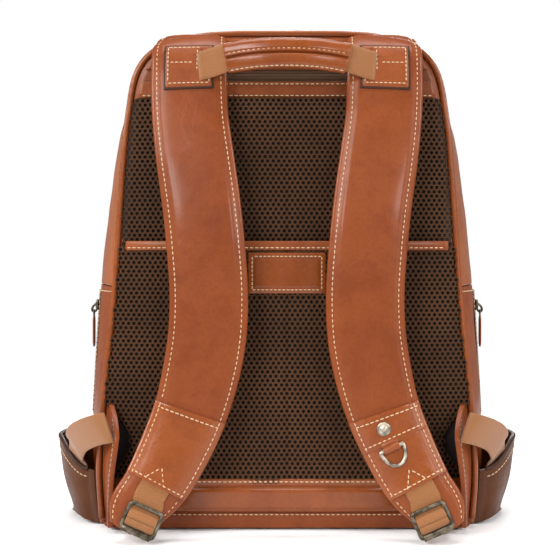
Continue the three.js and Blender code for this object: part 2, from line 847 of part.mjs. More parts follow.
add("front_pocket_puller", placed(pullerBody(PULLER.front), frontSeat, DOWN, LEFT, Y), TAN());

// ---- bottle pockets ----
function bottleAt(inset) {
  return (u, v) => {
    const y = lerp(BOTTLE.near + inset, BOTTLE.far - inset, u);
    const full = Math.max(Math.sin(Math.PI * u), 0) ** BOTTLE.round;
    const deep = lerp(BOTTLE.shallow, BOTTLE.deep, full);
    const rim = lerp(BOTTLE.rimNear, BOTTLE.rimHigh, Math.sin(Math.PI * Math.min(u * 1.5, 0.5)));
    const floor = BOTTLE.low + inset;
    const rows = [
      [0, 0, 0],
      [0.3, Math.max(deep - 5, 0.4), 0],
      [0.5, deep, 6],
      [1, deep + BOTTLE.flare * full, rim - BOTTLE.low],
    ];
    const [out, up] = through(rows, v);
    const z = v === 1 ? rim : Math.max(floor + up - (v > 0.5 ? inset * (v - 0.5) * 2 : 0), floor);
    const reach = Math.max(out - inset, 0);
    return [-sideX(Math.min(z, rim), y) - 0.4 - reach, y, z];
  };
}
addPair("side_pocket", slab(bottleAt(0), bottleAt(BOTTLE.wall), 14, 8), TAN);

// ---- wings that carry the side webbing ----
function wingAt(side) {
  return (u, v) => {
    const z = lerp(WING[0][0], WING[4][0], v);
    const reach = through(WING, z)[0] * u;
    const lean = WING_LEAN.foot + WING_LEAN.rise * z;
    const x = -through(HALF_WIDTHS, z)[0] + 2.5 + reach * lean + side * 1.6;
    return [x, backFace - 0.2 - reach, z];
  };
}
addPair("wing", slab(wingAt(-1), wingAt(1), 4, 8), TAN);

// ---- straps ----
const last = STRAP.length - 1;
addPair(
  "strap_pad",
  slab(
    (u, v) => strapAt(lerp(0, last, u), lerp(-1, 1, v), PAD_FRONT),
    (u, v) => {
      const w = lerp(-1, 1, v);
      return strapAt(lerp(0, last, u), w, PAD_BACK + 1.5 * w ** 4 - STRAP_CROWN * (1 - w * w));
    },
    STRAP_STEPS,
    4,
  ),
  DEEP,
);
addPair("strap_face", strapLayer(0, last, -1, 1, PAD_FRONT + GAP, FACE_FRONT, STRAP_STEPS, 4), TAN);
add(
  "strap_end_patch_left",
  strapLayer(END_SEAM_TOP, END_SEAM_BOTTOM, -1, 1, FACE_FRONT + GAP, PATCH_FRONT, 4, 4),
  TAN(),
);
add(
  "strap_end_patch_right",
  mirrored(strapLayer(DRING_SEAM + 0.02, END_SEAM_BOTTOM, -1, 1, FACE_FRONT + GAP, PATCH_FRONT, 4, 4)),
  TAN(),
);
addPair(
  "handle_patch",
  strapLayer(PATCH_TOP, PATCH_BOTTOM, -PATCH_HALF, PATCH_HALF, FACE_FRONT + GAP, PATCH_FRONT, 4, 4),
  DEEP,
);

// ---- ring tab, rivet and D-ring on the right strap ----
// Frame on the strap: origin on its surface, axes across, along and away from it.
function strapFrame(t, w, lift) {
  const at = strapAt(t, w, lift);
  const along = vec(strapAt(t + 0.1, w, lift)).sub(vec(strapAt(t - 0.1, w, lift))).normalize();
  const across = new THREE.Vector3(-along.z, 0, along.x).normalize();
  const away = along.clone().cross(across);
  return { at, across: across.toArray(), along: along.toArray(), away: away.toArray() };
}
// The same frame turned about the direction away from the strap.
function turned(frame, angle) {
  const away = vec(frame.away);
  const across = vec(frame.across).applyAxisAngle(away, angle).toArray();
  const along = vec(frame.along).applyAxisAngle(away, angle).toArray();
  return { ...frame, across, along };
}
const onStrap = (geometry, frame) => placed(geometry, frame.at, frame.across, frame.along, frame.away);

const rivetFrame = strapFrame(DRING_SEAM + RIVET.at[0], RIVET.at[1], PATCH_FRONT);
const ringFrame = strapFrame(DRING_SEAM + RING.at[0], RING.at[1], PATCH_FRONT);
const keeperOuter = new THREE.CylinderGeometry(KEEPER.outer, KEEPER.outer, 2 * KEEPER.half, 16);
keeperOuter.rotateZ(Math.PI / 2).translate(0, 0, RING.lift);
const keeperBore = new THREE.CylinderGeometry(KEEPER.bore, KEEPER.bore, 2 * KEEPER.half + 4, 16);
keeperBore.rotateZ(Math.PI / 2).translate(0, 0, RING.lift);
const keeperTail = box(-KEEPER.half, KEEPER.half, -KEEPER.tail, 0, -0.6, 1.2);
const keeper = cut(joined(keeperOuter, keeperTail), keeperBore, box(-8, 8, -20, 20, -5, -0.7));
const tabPlate = strapLayer(END_SEAM_TOP, DRING_SEAM - 0.02, -1, 1, FACE_FRONT + GAP, PATCH_FRONT, 2, 4);
const ringTabSolid = joined(tabPlate, onStrap(keeper, ringFrame));
const patchForRight = strapLayer(DRING_SEAM + 0.02, END_SEAM_BOTTOM, -1, 1, 0, PATCH_FRONT + GAP, 4, 4);
add("dring_tab", mirrored(cut(ringTabSolid, patchForRight)), TAN());

const rivetBody = new THREE.CylinderGeometry(RIVET.top, RIVET.foot, RIVET.high, 18);
rivetBody.rotateX(Math.PI / 2).translate(0, 0, RIVET.lift);
add("rivet", mirrored(onStrap(rivetBody, rivetFrame)), METAL());

const ringPath = [];
for (let i = 0; i <= 6; i++) ringPath.push([lerp(-RING.bar / 2, RING.bar / 2, i / 6), 0, RING.lift]);
for (let i = 1; i < 14; i++) {
  const angle = (Math.PI * i) / 14;
  ringPath.push([(RING.bar / 2) * Math.cos(angle), RING.drop * Math.sin(angle), RING.lift]);
}
add("d_ring", mirrored(onStrap(rod(ringPath, RING.wire, 10, [0, 0, 1], true), ringFrame)), METAL());

// ---- buckles and their webbing ----
const webLift = FACE_FRONT + 0.4 + WEB_THICK / 2; // middle of the webbing lying on the strap
const buckleLift = webLift + WEB_THICK / 2 + 0.5 + BUCKLE.thick / 2;
const seat = turned(strapFrame(BUCKLE.key, BUCKLE.share, buckleLift), BUCKLE.turn);
const halfAlong = BUCKLE.along / 2;
const halfBar = BUCKLE.middle / 2;
const windowHalf = BUCKLE.across / 2 - BUCKLE.side;
const buckleBody = cut(
  new THREE.BoxGeometry(BUCKLE.across, BUCKLE.along, BUCKLE.thick),
  box(-windowHalf, windowHalf, -halfAlong + BUCKLE.bar, -halfBar, -5, 5),
  box(-windowHalf, windowHalf, halfBar, halfAlong - BUCKLE.bar, -5, 5),
);
addPair("buckle", onStrap(buckleBody, seat), METAL);

function webStations(rows) {
  return rows.map(([along, away]) => {
    const p = vec(seat.at);
    p.addScaledVector(vec(seat.along), along);
    p.addScaledVector(vec(seat.away), away);
    return [...p.toArray(), ...seat.across];
  });
}
const sewn = strapFrame(END_SEAM_BOTTOM + 0.2, 0, webLift);
const upperWeb = [[...sewn.at, ...seat.across], ...webStations(WEB_ABOVE)];
addPair("buckle_web", ribbon(upperWeb, WEB, WEB_THICK, 8), WEBBING);
const lowerWeb = webStations(WEB_BELOW);
const webEnd = lowerWeb[lowerWeb.length - 1];
lowerWeb.push([webEnd[0] - 1, lerp(webEnd[1], backFace, 0.5), WEB_TAIL_Z, ...seat.across]);
lowerWeb.push([webEnd[0] - 2, backFace - 0.4, WEB_TAIL_Z, ...seat.across]);
addPair("adjuster_web", ribbon(lowerWeb, WEB, WEB_THICK, 24), WEBBING);

const sideWeb = SIDE_WEB.map((point) => [...point, ...SIDE_WEB_ACROSS]);
addPair("pocket_web", ribbon(sideWeb, WEB, WEB_THICK, 12), WEBBING);

// ---- carry handle ----
const handleRight = HANDLE_LINE.slice(0, -1).reverse().map(([x, y, z]) => [-x, y, z]);
const handleLine = [...HANDLE_LINE, ...handleRight];
add("handle_web", ribbon(handleLine.map((p) => [...p, 0, 0, 1]), WEB, WEB_THICK, 32), WEBBING());

const gripRings = { outer: [], inner: [] };
for (let i = 0; i <= GRIP.steps; i++) {
  const x = lerp(-GRIP.half, GRIP.half, i / GRIP.steps);
  const [y, z] = through(handleLine, x);
  const [yAhead, zAhead] = through(handleLine, x + 0.5);
  const run = new THREE.Vector3(0.5, yAhead - y, zAhead - z).normalize();
  const normal = new THREE.Vector3(0, 1, 0).projectOnPlane(run).normalize();
  const up = run.clone().cross(normal).negate();
  const at = (b, c) => vec([x, y, z]).addScaledVector(up, b).addScaledVector(normal, c).toArray();
  gripRings.outer.push(roundedRing(GRIP.high, GRIP.thick, 2.6, GRIP.sides, at));
  gripRings.inner.push(roundedRing(GRIP.high - 1.2, GRIP.bore, 8, GRIP.sides, at));
}
add("handle_grip", loop([...gripRings.outer, ...gripRings.inner.reverse()]), TAN());

export default group;
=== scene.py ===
import json
import math

import bmesh
import bpy
from mathutils import Matrix, Vector, noise


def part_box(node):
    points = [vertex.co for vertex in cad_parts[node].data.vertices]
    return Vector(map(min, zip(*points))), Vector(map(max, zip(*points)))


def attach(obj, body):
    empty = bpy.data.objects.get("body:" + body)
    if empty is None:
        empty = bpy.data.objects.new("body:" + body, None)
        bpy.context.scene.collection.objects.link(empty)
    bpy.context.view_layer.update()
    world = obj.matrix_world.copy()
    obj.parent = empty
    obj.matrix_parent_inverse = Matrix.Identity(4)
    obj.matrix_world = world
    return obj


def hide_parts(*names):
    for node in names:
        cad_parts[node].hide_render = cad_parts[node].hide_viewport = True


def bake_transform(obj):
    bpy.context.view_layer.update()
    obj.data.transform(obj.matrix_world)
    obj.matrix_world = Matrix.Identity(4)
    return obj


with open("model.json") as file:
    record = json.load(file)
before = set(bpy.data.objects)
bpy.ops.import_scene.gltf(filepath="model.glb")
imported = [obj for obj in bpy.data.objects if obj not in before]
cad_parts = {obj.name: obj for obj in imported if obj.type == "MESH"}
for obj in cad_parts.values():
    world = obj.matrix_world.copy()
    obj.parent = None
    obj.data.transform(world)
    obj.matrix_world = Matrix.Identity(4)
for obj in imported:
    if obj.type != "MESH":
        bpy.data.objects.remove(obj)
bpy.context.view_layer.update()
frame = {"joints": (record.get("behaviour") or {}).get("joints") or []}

# All shapes below are worked out in millimetres and written to the meshes in metres.
MM = 0.001


def box_mm(node):
    low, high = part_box(node)
    return [v / MM for v in low], [v / MM for v in high]


# ---- dimensions shared with the frame ----
BACK_Y = box_mm("back_panel")[0][1]
FRONT_Y = box_mm("front_panel_lower")[1][1]
HALF_DEPTH = FRONT_Y
INNER_Y = HALF_DEPTH - 4.3  # inner side of the front and back panels' edges
TOP_Z = box_mm("back_panel")[1][2]
SEAM_Z = (box_mm("front_panel_lower")[1][2] + box_mm("front_panel_upper")[0][2]) / 2
PAD_TOP = box_mm("mesh_pad_upper")[1][2]
BAND_LOW, SLEEVE_TOP = (corner[2] for corner in box_mm("sleeve_top_band"))
BOTTOM_BAND = [corner[2] for corner in box_mm("sleeve_bottom_band")]
FRONT_POCKET = box_mm("front_pocket")
BACK_FACE = BACK_Y - 0.3
SHOULDER_Z = 360
ARCH_POWER = 4
SHOULDER_TAPER = 0.15
SIDE_SHARE = 0.68
WEB = 25
WEB_THICK = 1.5

HALF_WIDTHS = [(0, 157), (50, 160), (110, 156), (197, 147), (266, 142.5), (336, 137.5), (SHOULDER_Z, 134.5)]
BULGES = [(0, 12), (60, 18), (130, 21), (200, 24), (250, 23), (300, 19.5), (345, 15), (380, 10), (415, 7)]

# Left strap centre line: key, x, y, z, outer half width, inner half width.
STRAP = [
    (-1.7, -81.5, -57, 416, 30, 30),
    (-1, -82, -68, 423.5, 30, 30),
    (0, -82.5, -78.5, 421.8, 30.5, 30.5),
    (1, -83, -89, 411, 31.5, 31.5),
    (2, -83, -96, 394, 31.5, 31.5),
    (3, -82.5, -101, 372, 31.5, 31.5),
    (4, -81, -106, 349, 31.5, 31.5),
    (5, -77, -111, 318, 32, 32),
    (6, -71.5, -115, 280, 32, 32),
    (7, -67.5, -117.5, 243, 32, 32),
    (8, -65, -118.5, 206, 32, 32),
    (9, -66, -118.5, 172, 32, 32),
    (10, -71, -118.5, 140, 31.5, 31.5),
    (11, -80, -119.5, 106, 30, 30),
    (12, -93, -122, 75, 28.5, 28.5),
    (13, -108, -126, 46, 26.5, 26),
    (14, -118, -128.5, 28.5, 27.2, 20),
    (15, -124.5, -129.5, 18, 24.5, 14),
    (16, -130.5, -130, 8.5, 17, 3),
]
STRAP_TOP = STRAP[0][0]
STRAP_END = STRAP[-1][0]
STRAP_CORNER = 10  # how far the outer corner falls at the top, where the strap follows the bag's shoulder
END_SEAM_TOP = 11
END_SEAM_BOTTOM = 13
RING_SEAM = 11.66
TAB_END = RING_SEAM + 0.1
PATCH_SPAN = (1.05, 2.84)
STITCH_W = 0.86
PATCH_HALF = 0.62  # half width of the handle patch, as a share of the strap's
PATCH_LAYER = 1.9  # how far the strap's end patch stands over the strap, then the ring tab
TAB_LAYER = 2.2
BUCKLE = {"key": 14.78, "lie": (0.912, 0.021, -0.41), "across": 31, "along": 25}
SIDES = {-1: "left", 1: "right"}


def lerp(a, b, t):
    return a + (b - a) * t


def spread(a, b, count):
    """count + 1 even values from a to b."""
    return [lerp(a, b, i / count) for i in range(count + 1)]


def between(a, b, count):
    """Even points from a to b."""
    return [tuple(lerp(p, q, i / count) for p, q in zip(a, b)) for i in range(count + 1)]


def clamp(x, low=0.0, high=1.0):
    return max(low, min(high, x))


def smooth(x):
    x = clamp(x)
    return x * x * (3 - 2 * x)


def dip(x, at, width):
    """A rounded groove of depth 1 at a place."""
    return math.exp(-(((x - at) / width) ** 2))


def rumple(p, size, seed=0.0):
    """Soft unevenness from -1 to 1 at a point in millimetres."""
    return noise.noise(Vector((p[0] / size + seed, p[1] / size, p[2] / size)))


def through(rows, key):
    """Smooth curve through rows of (key, value, value ...)."""
    i = 0
    while i < len(rows) - 2 and key > rows[i + 1][0]:
        i += 1
    before = rows[max(i - 1, 0)]
    start, end = rows[i], rows[i + 1]
    after = rows[min(i + 2, len(rows) - 1)]
    span = end[0] - start[0]
    t = clamp((key - start[0]) / span)
    h = (2 * t**3 - 3 * t**2 + 1, t**3 - 2 * t**2 + t, 3 * t**2 - 2 * t**3, t**3 - t**2)
    values = []
    for k in range(1, len(start)):
        leave = (end[k] - before[k]) / (end[0] - before[0]) * span
        arrive = (after[k] - start[k]) / (after[0] - start[0]) * span
        values.append(h[0] * start[k] + h[1] * leave + h[2] * end[k] + h[3] * arrive)
    return values


def directions(count, power=2):
    """Points of a superellipse of half size 1."""
    points = []
    for i in range(count):
        angle = 2 * math.pi * i / count
        c, s = math.cos(angle), math.sin(angle)
        r = 1 if power == 2 else (abs(c) ** power + abs(s) ** power) ** (-1 / power)
        points.append((r * c, r * s))
    return points


# ---- outline of the bag ----
def half_outline(q):
    """Left half of the outline as (x, z), from the foot at q = 0 to the top at q = 1."""
    if q <= SIDE_SHARE:
        z = q / SIDE_SHARE * SHOULDER_Z
        return through(HALF_WIDTHS, z)[0], z
    angle = (q - SIDE_SHARE) / (1 - SIDE_SHARE) * math.pi / 2
    c, s = math.cos(angle), math.sin(angle)
    r = (abs(c) ** ARCH_POWER + abs(s) ** ARCH_POWER) ** (-1 / ARCH_POWER)
    rise = (TOP_Z - SHOULDER_Z) * r * s
    return (HALF_WIDTHS[-1][1] - SHOULDER_TAPER * rise) * r * c, SHOULDER_Z + rise


def share_at(z):
    """The q of a height below the shoulder."""
    return z / SHOULDER_Z * SIDE_SHARE


def outline_at(s):
    x, z = half_outline(s * 2 if s <= 0.5 else (1 - s) * 2)
    return (-x, z) if s <= 0.5 else (x, z)


def outward_at(s):
    a = outline_at(max(s - 0.004, 0))
    b = outline_at(min(s + 0.004, 1))
    length = math.hypot(b[0] - a[0], b[1] - a[1])
    return -(b[1] - a[1]) / length, (b[0] - a[0]) / length


def bulge_at(z, y):
    """How far the side walls swell outward between the front and the back."""
    v = clamp((y + HALF_DEPTH) / (2 * HALF_DEPTH))
    return 4 * v * (1 - v) * through(BULGES, min(z, BULGES[-1][0]))[0]


def wall_at(s, y, inset=0.0):
    """A point of the side and top walls. s runs from the left foot over the top to the right foot."""
    x, z = outline_at(s)
    nx, nz = outward_at(s)
    out = bulge_at(z, y) - inset
    return [x + nx * out, y, z + nz * out]


def side_x(z, y):
    return through(HALF_WIDTHS, z)[0] + bulge_at(z, y)


def half_at(z):
    """Half width of the back outline at any height."""
    if z <= SHOULDER_Z:
        return through(HALF_WIDTHS, z)[0]
    low, high = SIDE_SHARE, 1.0
    for _ in range(24):
        middle = (low + high) / 2
        if half_outline(middle)[1] < z:
            low = middle
        else:
            high = middle
    return half_outline(low)[0]


# ---- strap surface ----
def strap_frame(t, w=0.0, lift=0.0, side=-1):
    """Origin on the strap and its axes across, along and away. side -1 is the left strap."""
    x, y, z, outer, inner = through(STRAP, t)
    ahead = Vector(through(STRAP, min(t + 0.05, STRAP_END))[:3])
    behind = Vector(through(STRAP, max(t - 0.05, STRAP_TOP))[:3])
    along = (ahead - behind).normalized()
    across = Vector((max(-along.z, 0.3), 0, along.x)).normalized()
    away = along.cross(across)
    at = Vector((x, y, z)) + across * w * (outer if w < 0 else inner) + away * lift
    at.z -= STRAP_CORNER * clamp(1 - t / 1.6) ** 1.5 * max(0, (1 - w) / 2) ** 1.6
    flip = Matrix.Diagonal((-side, 1, 1))
    return flip @ at, flip @ across, flip @ along, flip @ away


def strap_top(w, layer=0.0):
    """Height of the strap's puffed face over its centre line at a share across."""
    a = abs(w)
    crown = 2.6 * (1 - a**4) + (1.1 * (1 - a**3) if layer else 0)
    height = 4.2 + layer + crown - 1.0 * dip(a, STITCH_W, 0.05)
    return height - 1.3 * smooth((a - 0.93) / 0.07)


def strap_point(t, w, lift, side):
    return list(strap_frame(t, w, lift, side)[0])


# ---- meshes ----
def new_piece(name, points, faces, look, nodes=(), body="bag", coords=None, bevel=0.0, closed=True):
    """A visible piece that stands for CAD nodes and rides a body. A piece with no body is left without one.
    """
    mesh = bpy.data.meshes.new(name)
    mesh.from_pydata([[c * MM for c in p] for p in points], [], faces)
    if coords:
        layer = mesh.attributes.new("cloth", "FLOAT_VECTOR", "POINT")
        layer.data.foreach_set("vector", [c for p in coords for c in p])
    if closed:
        work = bmesh.new()
        work.from_mesh(mesh)
        bmesh.ops.recalc_face_normals(work, faces=work.faces)
        work.to_mesh(mesh)
        work.free()
    mesh.shade_smooth()
    mesh.materials.append(look)
    piece = bpy.data.objects.new(name, mesh)
    bpy.context.scene.collection.objects.link(piece)
    if bevel:
        edge = piece.modifiers.new("edge", "BEVEL")
        edge.width = bevel * MM
        edge.segments = 2
        edge.limit_method = "ANGLE"
        edge.angle_limit = math.radians(50)
    if nodes:
        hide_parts(*nodes)
    if body:
        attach(piece, body)
    return piece


def slab(outer, inner, nu, nv):
    """Points, faces and cloth coordinates of a skin between two surfaces of u and v."""
    points, faces, coords = [], [], []
    row = nv + 1
    layer = (nu + 1) * row
    for surface in (outer, inner):
        for i in range(nu + 1):
            for j in range(nv + 1):
                points.append(surface(i / nu, j / nv))
                coords.append((i / nu, j / nv, 0))
    for i in range(nu):
        for j in range(nv):
            a = i * row + j
            faces.append((a, a + 1, a + row + 1, a + row))
            faces.append((layer + a, layer + a + row, layer + a + row + 1, layer + a + 1))
    for i in range(nu):
        low, high = i * row, i * row + nv
        faces.append((low, low + row, layer + low + row, layer + low))
        faces.append((high, layer + high, layer + high + row, high + row))
    for j in range(nv):
        end = nu * row + j
        faces.append((j, layer + j, layer + j + 1, j + 1))
        faces.append((end, end + 1, layer + end + 1, layer + end))
    return points, faces, coords


def tube(rings, closed=False):
    """Points and faces through rings of points, capped unless they close on themselves."""
    count = len(rings[0])
    points = [p for ring in rings for p in ring]
    faces = []
    for r in range(len(rings) if closed else len(rings) - 1):
        after = (r + 1) % len(rings)
        for i in range(count):
            j = (i + 1) % count
            faces.append((r * count + i, r * count + j, after * count + j, after * count + i))
    if not closed:
        for ring in (0, len(rings) - 1):
            middle = len(points)
            points.append([sum(p[k] for p in rings[ring]) / count for k in range(3)])
            for i in range(count):
                faces.append((ring * count + i, ring * count + (i + 1) % count, middle))
    return points, faces


def skin(name, surface, depths, counts, look, nodes=(), body="bag", tile=None, bevel=0.0, cloth=None):
    """A piece between two depths of surface(u, v, depth). tile is the size of its cloth in metres."""
    outer, inner = ((lambda u, v, depth=depth: surface(u, v, depth)) for depth in depths)
    if cloth:
        outer = settled(outer, *counts, *cloth)
    points, faces, shares = slab(outer, inner, *counts)
    coords = [(u * tile[0], v * tile[1], 0) for u, v, _ in shares] if tile else None
    return new_piece(name, points, faces, look, nodes, body, coords, bevel)


def round_section(a, b, power, count):
    """Points of a rounded rectangle with half sizes a and b."""
    return [(a * x, b * y) for x, y in directions(count, power)]


def sweep(path, section, up, closed=False):
    """Rings of a section carried along a path. up is one vector, or one for each point."""
    count = len(path)
    rings = []
    for i, at in enumerate(path):
        at = Vector(at)
        ahead = Vector(path[(i + 1) % count if closed else min(i + 1, count - 1)])
        behind = Vector(path[(i - 1) % count if closed else max(i - 1, 0)])
        run = (ahead - behind).normalized()
        top = Vector(up[i] if isinstance(up, list) else up)
        top = (top - run * top.dot(run)).normalized()
        side = run.cross(top)
        rings.append([list(at + side * a + top * b) for a, b in section])
    return rings


def swept(name, path, section, up, look, nodes=(), body="bag", closed=False):
    return new_piece(name, *tube(sweep(path, section, up, closed), closed), look, nodes, body)


def tube_piece(name, rings, look, nodes=(), body="bag", bevel=0.0):
    return new_piece(name, *tube(rings), look, nodes, body, bevel=bevel)


def dense(path, step):
    """A path resampled at even steps."""
    path = [Vector(p) for p in path]
    lengths = [0.0]
    for a, b in zip(path, path[1:]):
        lengths.append(lengths[-1] + (b - a).length)
    total = lengths[-1]
    count = max(1, round(total / step))
    result, k = [], 0
    for i in range(count + 1):
        along = total * i / count
        while k < len(path) - 2 and lengths[k + 1] < along:
            k += 1
        span = lengths[k + 1] - lengths[k] or 1.0
        result.append(path[k].lerp(path[k + 1], clamp((along - lengths[k]) / span)))
    return result


# ---- stitches ----
STITCH = {"pitch": 4.4, "long": 3.4, "radius": 0.5}


def stitches(name, runs, body="bag", pitch=STITCH["pitch"], size=1.0):
    """Thread stitches along runs. A run is a list of (point, normal) pairs."""
    points, faces, coords = [], [], []
    sides = 6
    reach = STITCH["long"] * pitch / STITCH["pitch"]
    profile = ((-0.5, 0.0), (-0.42, 0.7), (-0.15, 1.0), (0.15, 1.0), (0.42, 0.7), (0.5, 0.0))
    for run in runs:
        path = dense([p for p, _ in run], pitch / 4)
        normals = [Vector(n) for _, n in run]
        for i in range(2, len(path) - 2, 4):
            at = path[i]
            along = (path[i + 1] - path[i - 1]).normalized()
            normal = normals[min(len(normals) - 1, round(i / (len(path) - 1) * (len(normals) - 1)))]
            normal = (normal - along * normal.dot(along)).normalized()
            side = along.cross(normal)
            turn = 0.12 * rumple(at * 9, 5.0, 3.3)
            along = (along + side * turn).normalized()
            base = len(points)
            for share, girth in profile:
                radius = STITCH["radius"] * size * girth
                sink = 0.35 * (abs(share) * 2) ** 3
                middle = at + along * (share * reach)
                for k, (c, s) in enumerate(directions(sides) if girth else [(1, 0)]):
                    points.append(list(middle + side * (radius * c) + normal * (radius * s * 0.8 - sink)))
                    coords.append((share * reach * MM, k / sides, 0))
            end = base + 1 + 3 * sides
            for k in range(sides):
                n = (k + 1) % sides
                faces.append((base, base + 1 + n, base + 1 + k))
                for a in range(base + 1, end, sides):
                    faces.append((a + k, a + n, a + n + sides, a + k + sides))
                faces.append((end + k, end + n, end + sides))
    return new_piece(name, points, faces, THREAD, body=body, coords=coords)


# ---- cloth ----
def settled(surface, nu, nv, held, pressure, cap):
    """The surface's grid after a short cloth simulation that swells and creases it between its seams."""
    row = nv + 1
    spots = [(i / nu, j / nv) for i in range(nu + 1) for j in range(nv + 1)]
    rest = [Vector(surface(u, v)) for u, v in spots]
    faces = [(a, a + 1, a + row + 1, a + row) for i in range(nu) for a in range(i * row, i * row + nv)]
    mesh = bpy.data.meshes.new("settling")
    mesh.from_pydata([p * MM for p in rest], [], faces)
    sheet = bpy.data.objects.new("settling", mesh)
    scene = bpy.context.scene
    scene.collection.objects.link(sheet)
    seams = sheet.vertex_groups.new(name="seams")
    seams.add([k for k, (u, v) in enumerate(spots) if held(u, v)], 1.0, "REPLACE")
    cloth_mod = sheet.modifiers.new("settle", "CLOTH")
    rules = cloth_mod.settings
    rules.quality, rules.mass, rules.shrink_min = 5, 0.3, -0.025
    rules.tension_stiffness = rules.compression_stiffness = 25
    rules.shear_stiffness, rules.bending_stiffness = 15, 4
    rules.use_pressure, rules.uniform_pressure_force = True, pressure
    rules.vertex_group_mass = "seams"
    rules.effector_weights.gravity = 0
    frames = 20
    cloth_mod.point_cache.frame_start = 1
    cloth_mod.point_cache.frame_end = frames
    for step in range(1, frames + 1):
        scene.frame_set(step)
    shown = sheet.evaluated_get(bpy.context.evaluated_depsgraph_get()).to_mesh()
    moved = []
    for before, vertex in zip(rest, shown.vertices):
        shift = vertex.co / MM - before
        if shift.length > cap:
            shift *= cap / shift.length
        moved.append(list(before + shift))
    bpy.data.objects.remove(sheet)
    scene.frame_set(1)
    return lambda u, v: moved[round(u * nu) * row + round(v * nv)]


def set_socket(tree, socket, value):
    """Links an output to a socket, or sets its number or colour."""
    if isinstance(value, bpy.types.NodeSocket):
        tree.links.new(value, socket)
    elif isinstance(value, tuple) and len(value) == 3:
        socket.default_value = (*value, 1.0)
    else:
        socket.default_value = value


class Looks:
    """Small helper that adds nodes to one material."""

    def __init__(self, name, slot):
        self.material = bpy.data.materials.new(name)
        self.material.use_nodes = True
        self.tree = self.material.node_tree
        self.shader = self.tree.nodes["Principled BSDF"]
        self.place = self.node("ShaderNodeTexCoord").outputs["Object"]

    def node(self, kind, inputs=None, **settings):
        made = self.tree.nodes.new(kind)
        for key, value in settings.items():
            setattr(made, key, value)
        for key, value in (inputs or {}).items():
            set_socket(self.tree, made.inputs[key], value)
        return made

    def strip(self):
        """The piece's own cloth coordinates."""
        return self.node("ShaderNodeAttribute", attribute_name="cloth").outputs["Vector"]

    def wave(self, vector, scale, direction, **inputs):
        inputs = {"Vector": vector, "Scale": scale, **{key.replace("_", " "): v for key, v in inputs.items()}}
        return self.node("ShaderNodeTexWave", inputs, bands_direction=direction).outputs["Fac"]

    def noise(self, scale, detail=4.0, rough=0.55, twist=0.0):
        inputs = {"Vector": self.place, "Scale": scale, "Detail": detail, "Roughness": rough}
        return self.node("ShaderNodeTexNoise", {**inputs, "Distortion": twist}).outputs["Fac"]

    def span(self, value, low, high, to_low=0.0, to_high=1.0):
        inputs = {"Value": value, "From Min": low, "From Max": high, "To Min": to_low, "To Max": to_high}
        return self.node("ShaderNodeMapRange", inputs).outputs["Result"]

    def mix(self, factor, a, b):
        made = self.node("ShaderNodeMix", {0: factor}, data_type="RGBA")
        set_socket(self.tree, made.inputs[6], a)
        set_socket(self.tree, made.inputs[7], b)
        return made.outputs[2]

    def bump(self, height, distance, strength=1.0, after=None):
        inputs = {"Height": height, "Distance": distance, "Strength": strength}
        if after:
            inputs["Normal"] = after
        return self.node("ShaderNodeBump", inputs).outputs["Normal"]

    def feed(self, socket, value):
        set_socket(self.tree, self.shader.inputs[socket], value)


def shade(colour, k):
    return tuple(min(1.0, c * k) for c in colour)


def leather(name, slot, colour, rough=0.42, coat=0.18, grain=1.0):
    """Waxed leather: mottled colour, fine pebble, creases and an uneven shine."""
    m = Looks(name, slot)
    warm = (colour[0] * 1.18, colour[1] * 1.3, colour[2] * 1.45)
    deep = (colour[0] * 0.62, colour[1] * 0.5, colour[2] * 0.45)
    clouds = m.span(m.noise(11, 5, 0.6, 0.4), 0.34, 0.68)
    base = m.mix(clouds, shade(colour, 0.86), warm)
    blotch = m.span(m.noise(45, 4, 0.6), 0.5, 0.75, 0, 0.5)
    base = m.mix(blotch, base, deep)
    speck = m.span(m.noise(420, 2, 0.5), 0.45, 0.8, 0, 0.35)
    base = m.mix(speck, base, deep)
    m.feed("Base Color", base)
    cells = {"Vector": m.place, "Scale": 1050.0, "Smoothness": 0.6}
    pebble = m.node("ShaderNodeTexVoronoi", cells, feature="SMOOTH_F1").outputs["Distance"]
    crease, bend = m.noise(210, 6, 0.65, 1.6), m.noise(38, 3, 0.5, 0.8)
    bumped = m.bump(crease, 0.0005, 0.35 * grain, m.bump(pebble, 0.00022, 0.35 * grain))
    m.feed("Normal", m.bump(bend, 0.003, 0.42, bumped))
    m.feed("Roughness", m.span(m.noise(75, 4, 0.6), 0.3, 0.7, rough - 0.09, rough + 0.13))
    m.feed("Specular IOR Level", 0.16)
    m.feed("Coat Weight", coat)
    m.feed("Coat Roughness", 0.19)
    return m.material


def webbing(name, slot, colour):
    """Twill tape: fine diagonal ribs on the strip's own coordinates."""
    m = Looks(name, slot)
    ribs = m.wave(m.strip(), 330.0, "DIAGONAL", Distortion=0.8, Detail=1.0, Detail_Scale=2.0)
    threads = m.noise(1400, 2, 0.5)
    base = m.mix(ribs, shade(colour, 0.84), shade(colour, 1.08))
    base = m.mix(m.span(m.noise(24, 4), 0.35, 0.7, 0, 0.45), base, shade(colour, 0.78))
    m.feed("Base Color", m.mix(m.span(threads, 0.4, 0.8, 0, 0.3), base, shade(colour, 0.6)))
    m.feed("Normal", m.bump(ribs, 0.00035, 0.7, m.bump(threads, 0.0002, 0.5)))
    m.feed("Roughness", 0.78)
    m.feed("Sheen Weight", 0.25)
    return m.material


def tape(name, slot, colour):
    """Zip tape: ribs that run along the tape."""
    m = Looks(name, slot)
    ribs = m.wave(m.strip(), 115.0, "Y")
    fine = m.noise(1500, 2, 0.5)
    m.feed("Base Color", m.mix(ribs, shade(colour, 0.55), shade(colour, 1.25)))
    m.feed("Normal", m.bump(ribs, 0.0003, 0.6, m.bump(fine, 0.0002, 0.4)))
    m.feed("Roughness", 0.8)
    return m.material


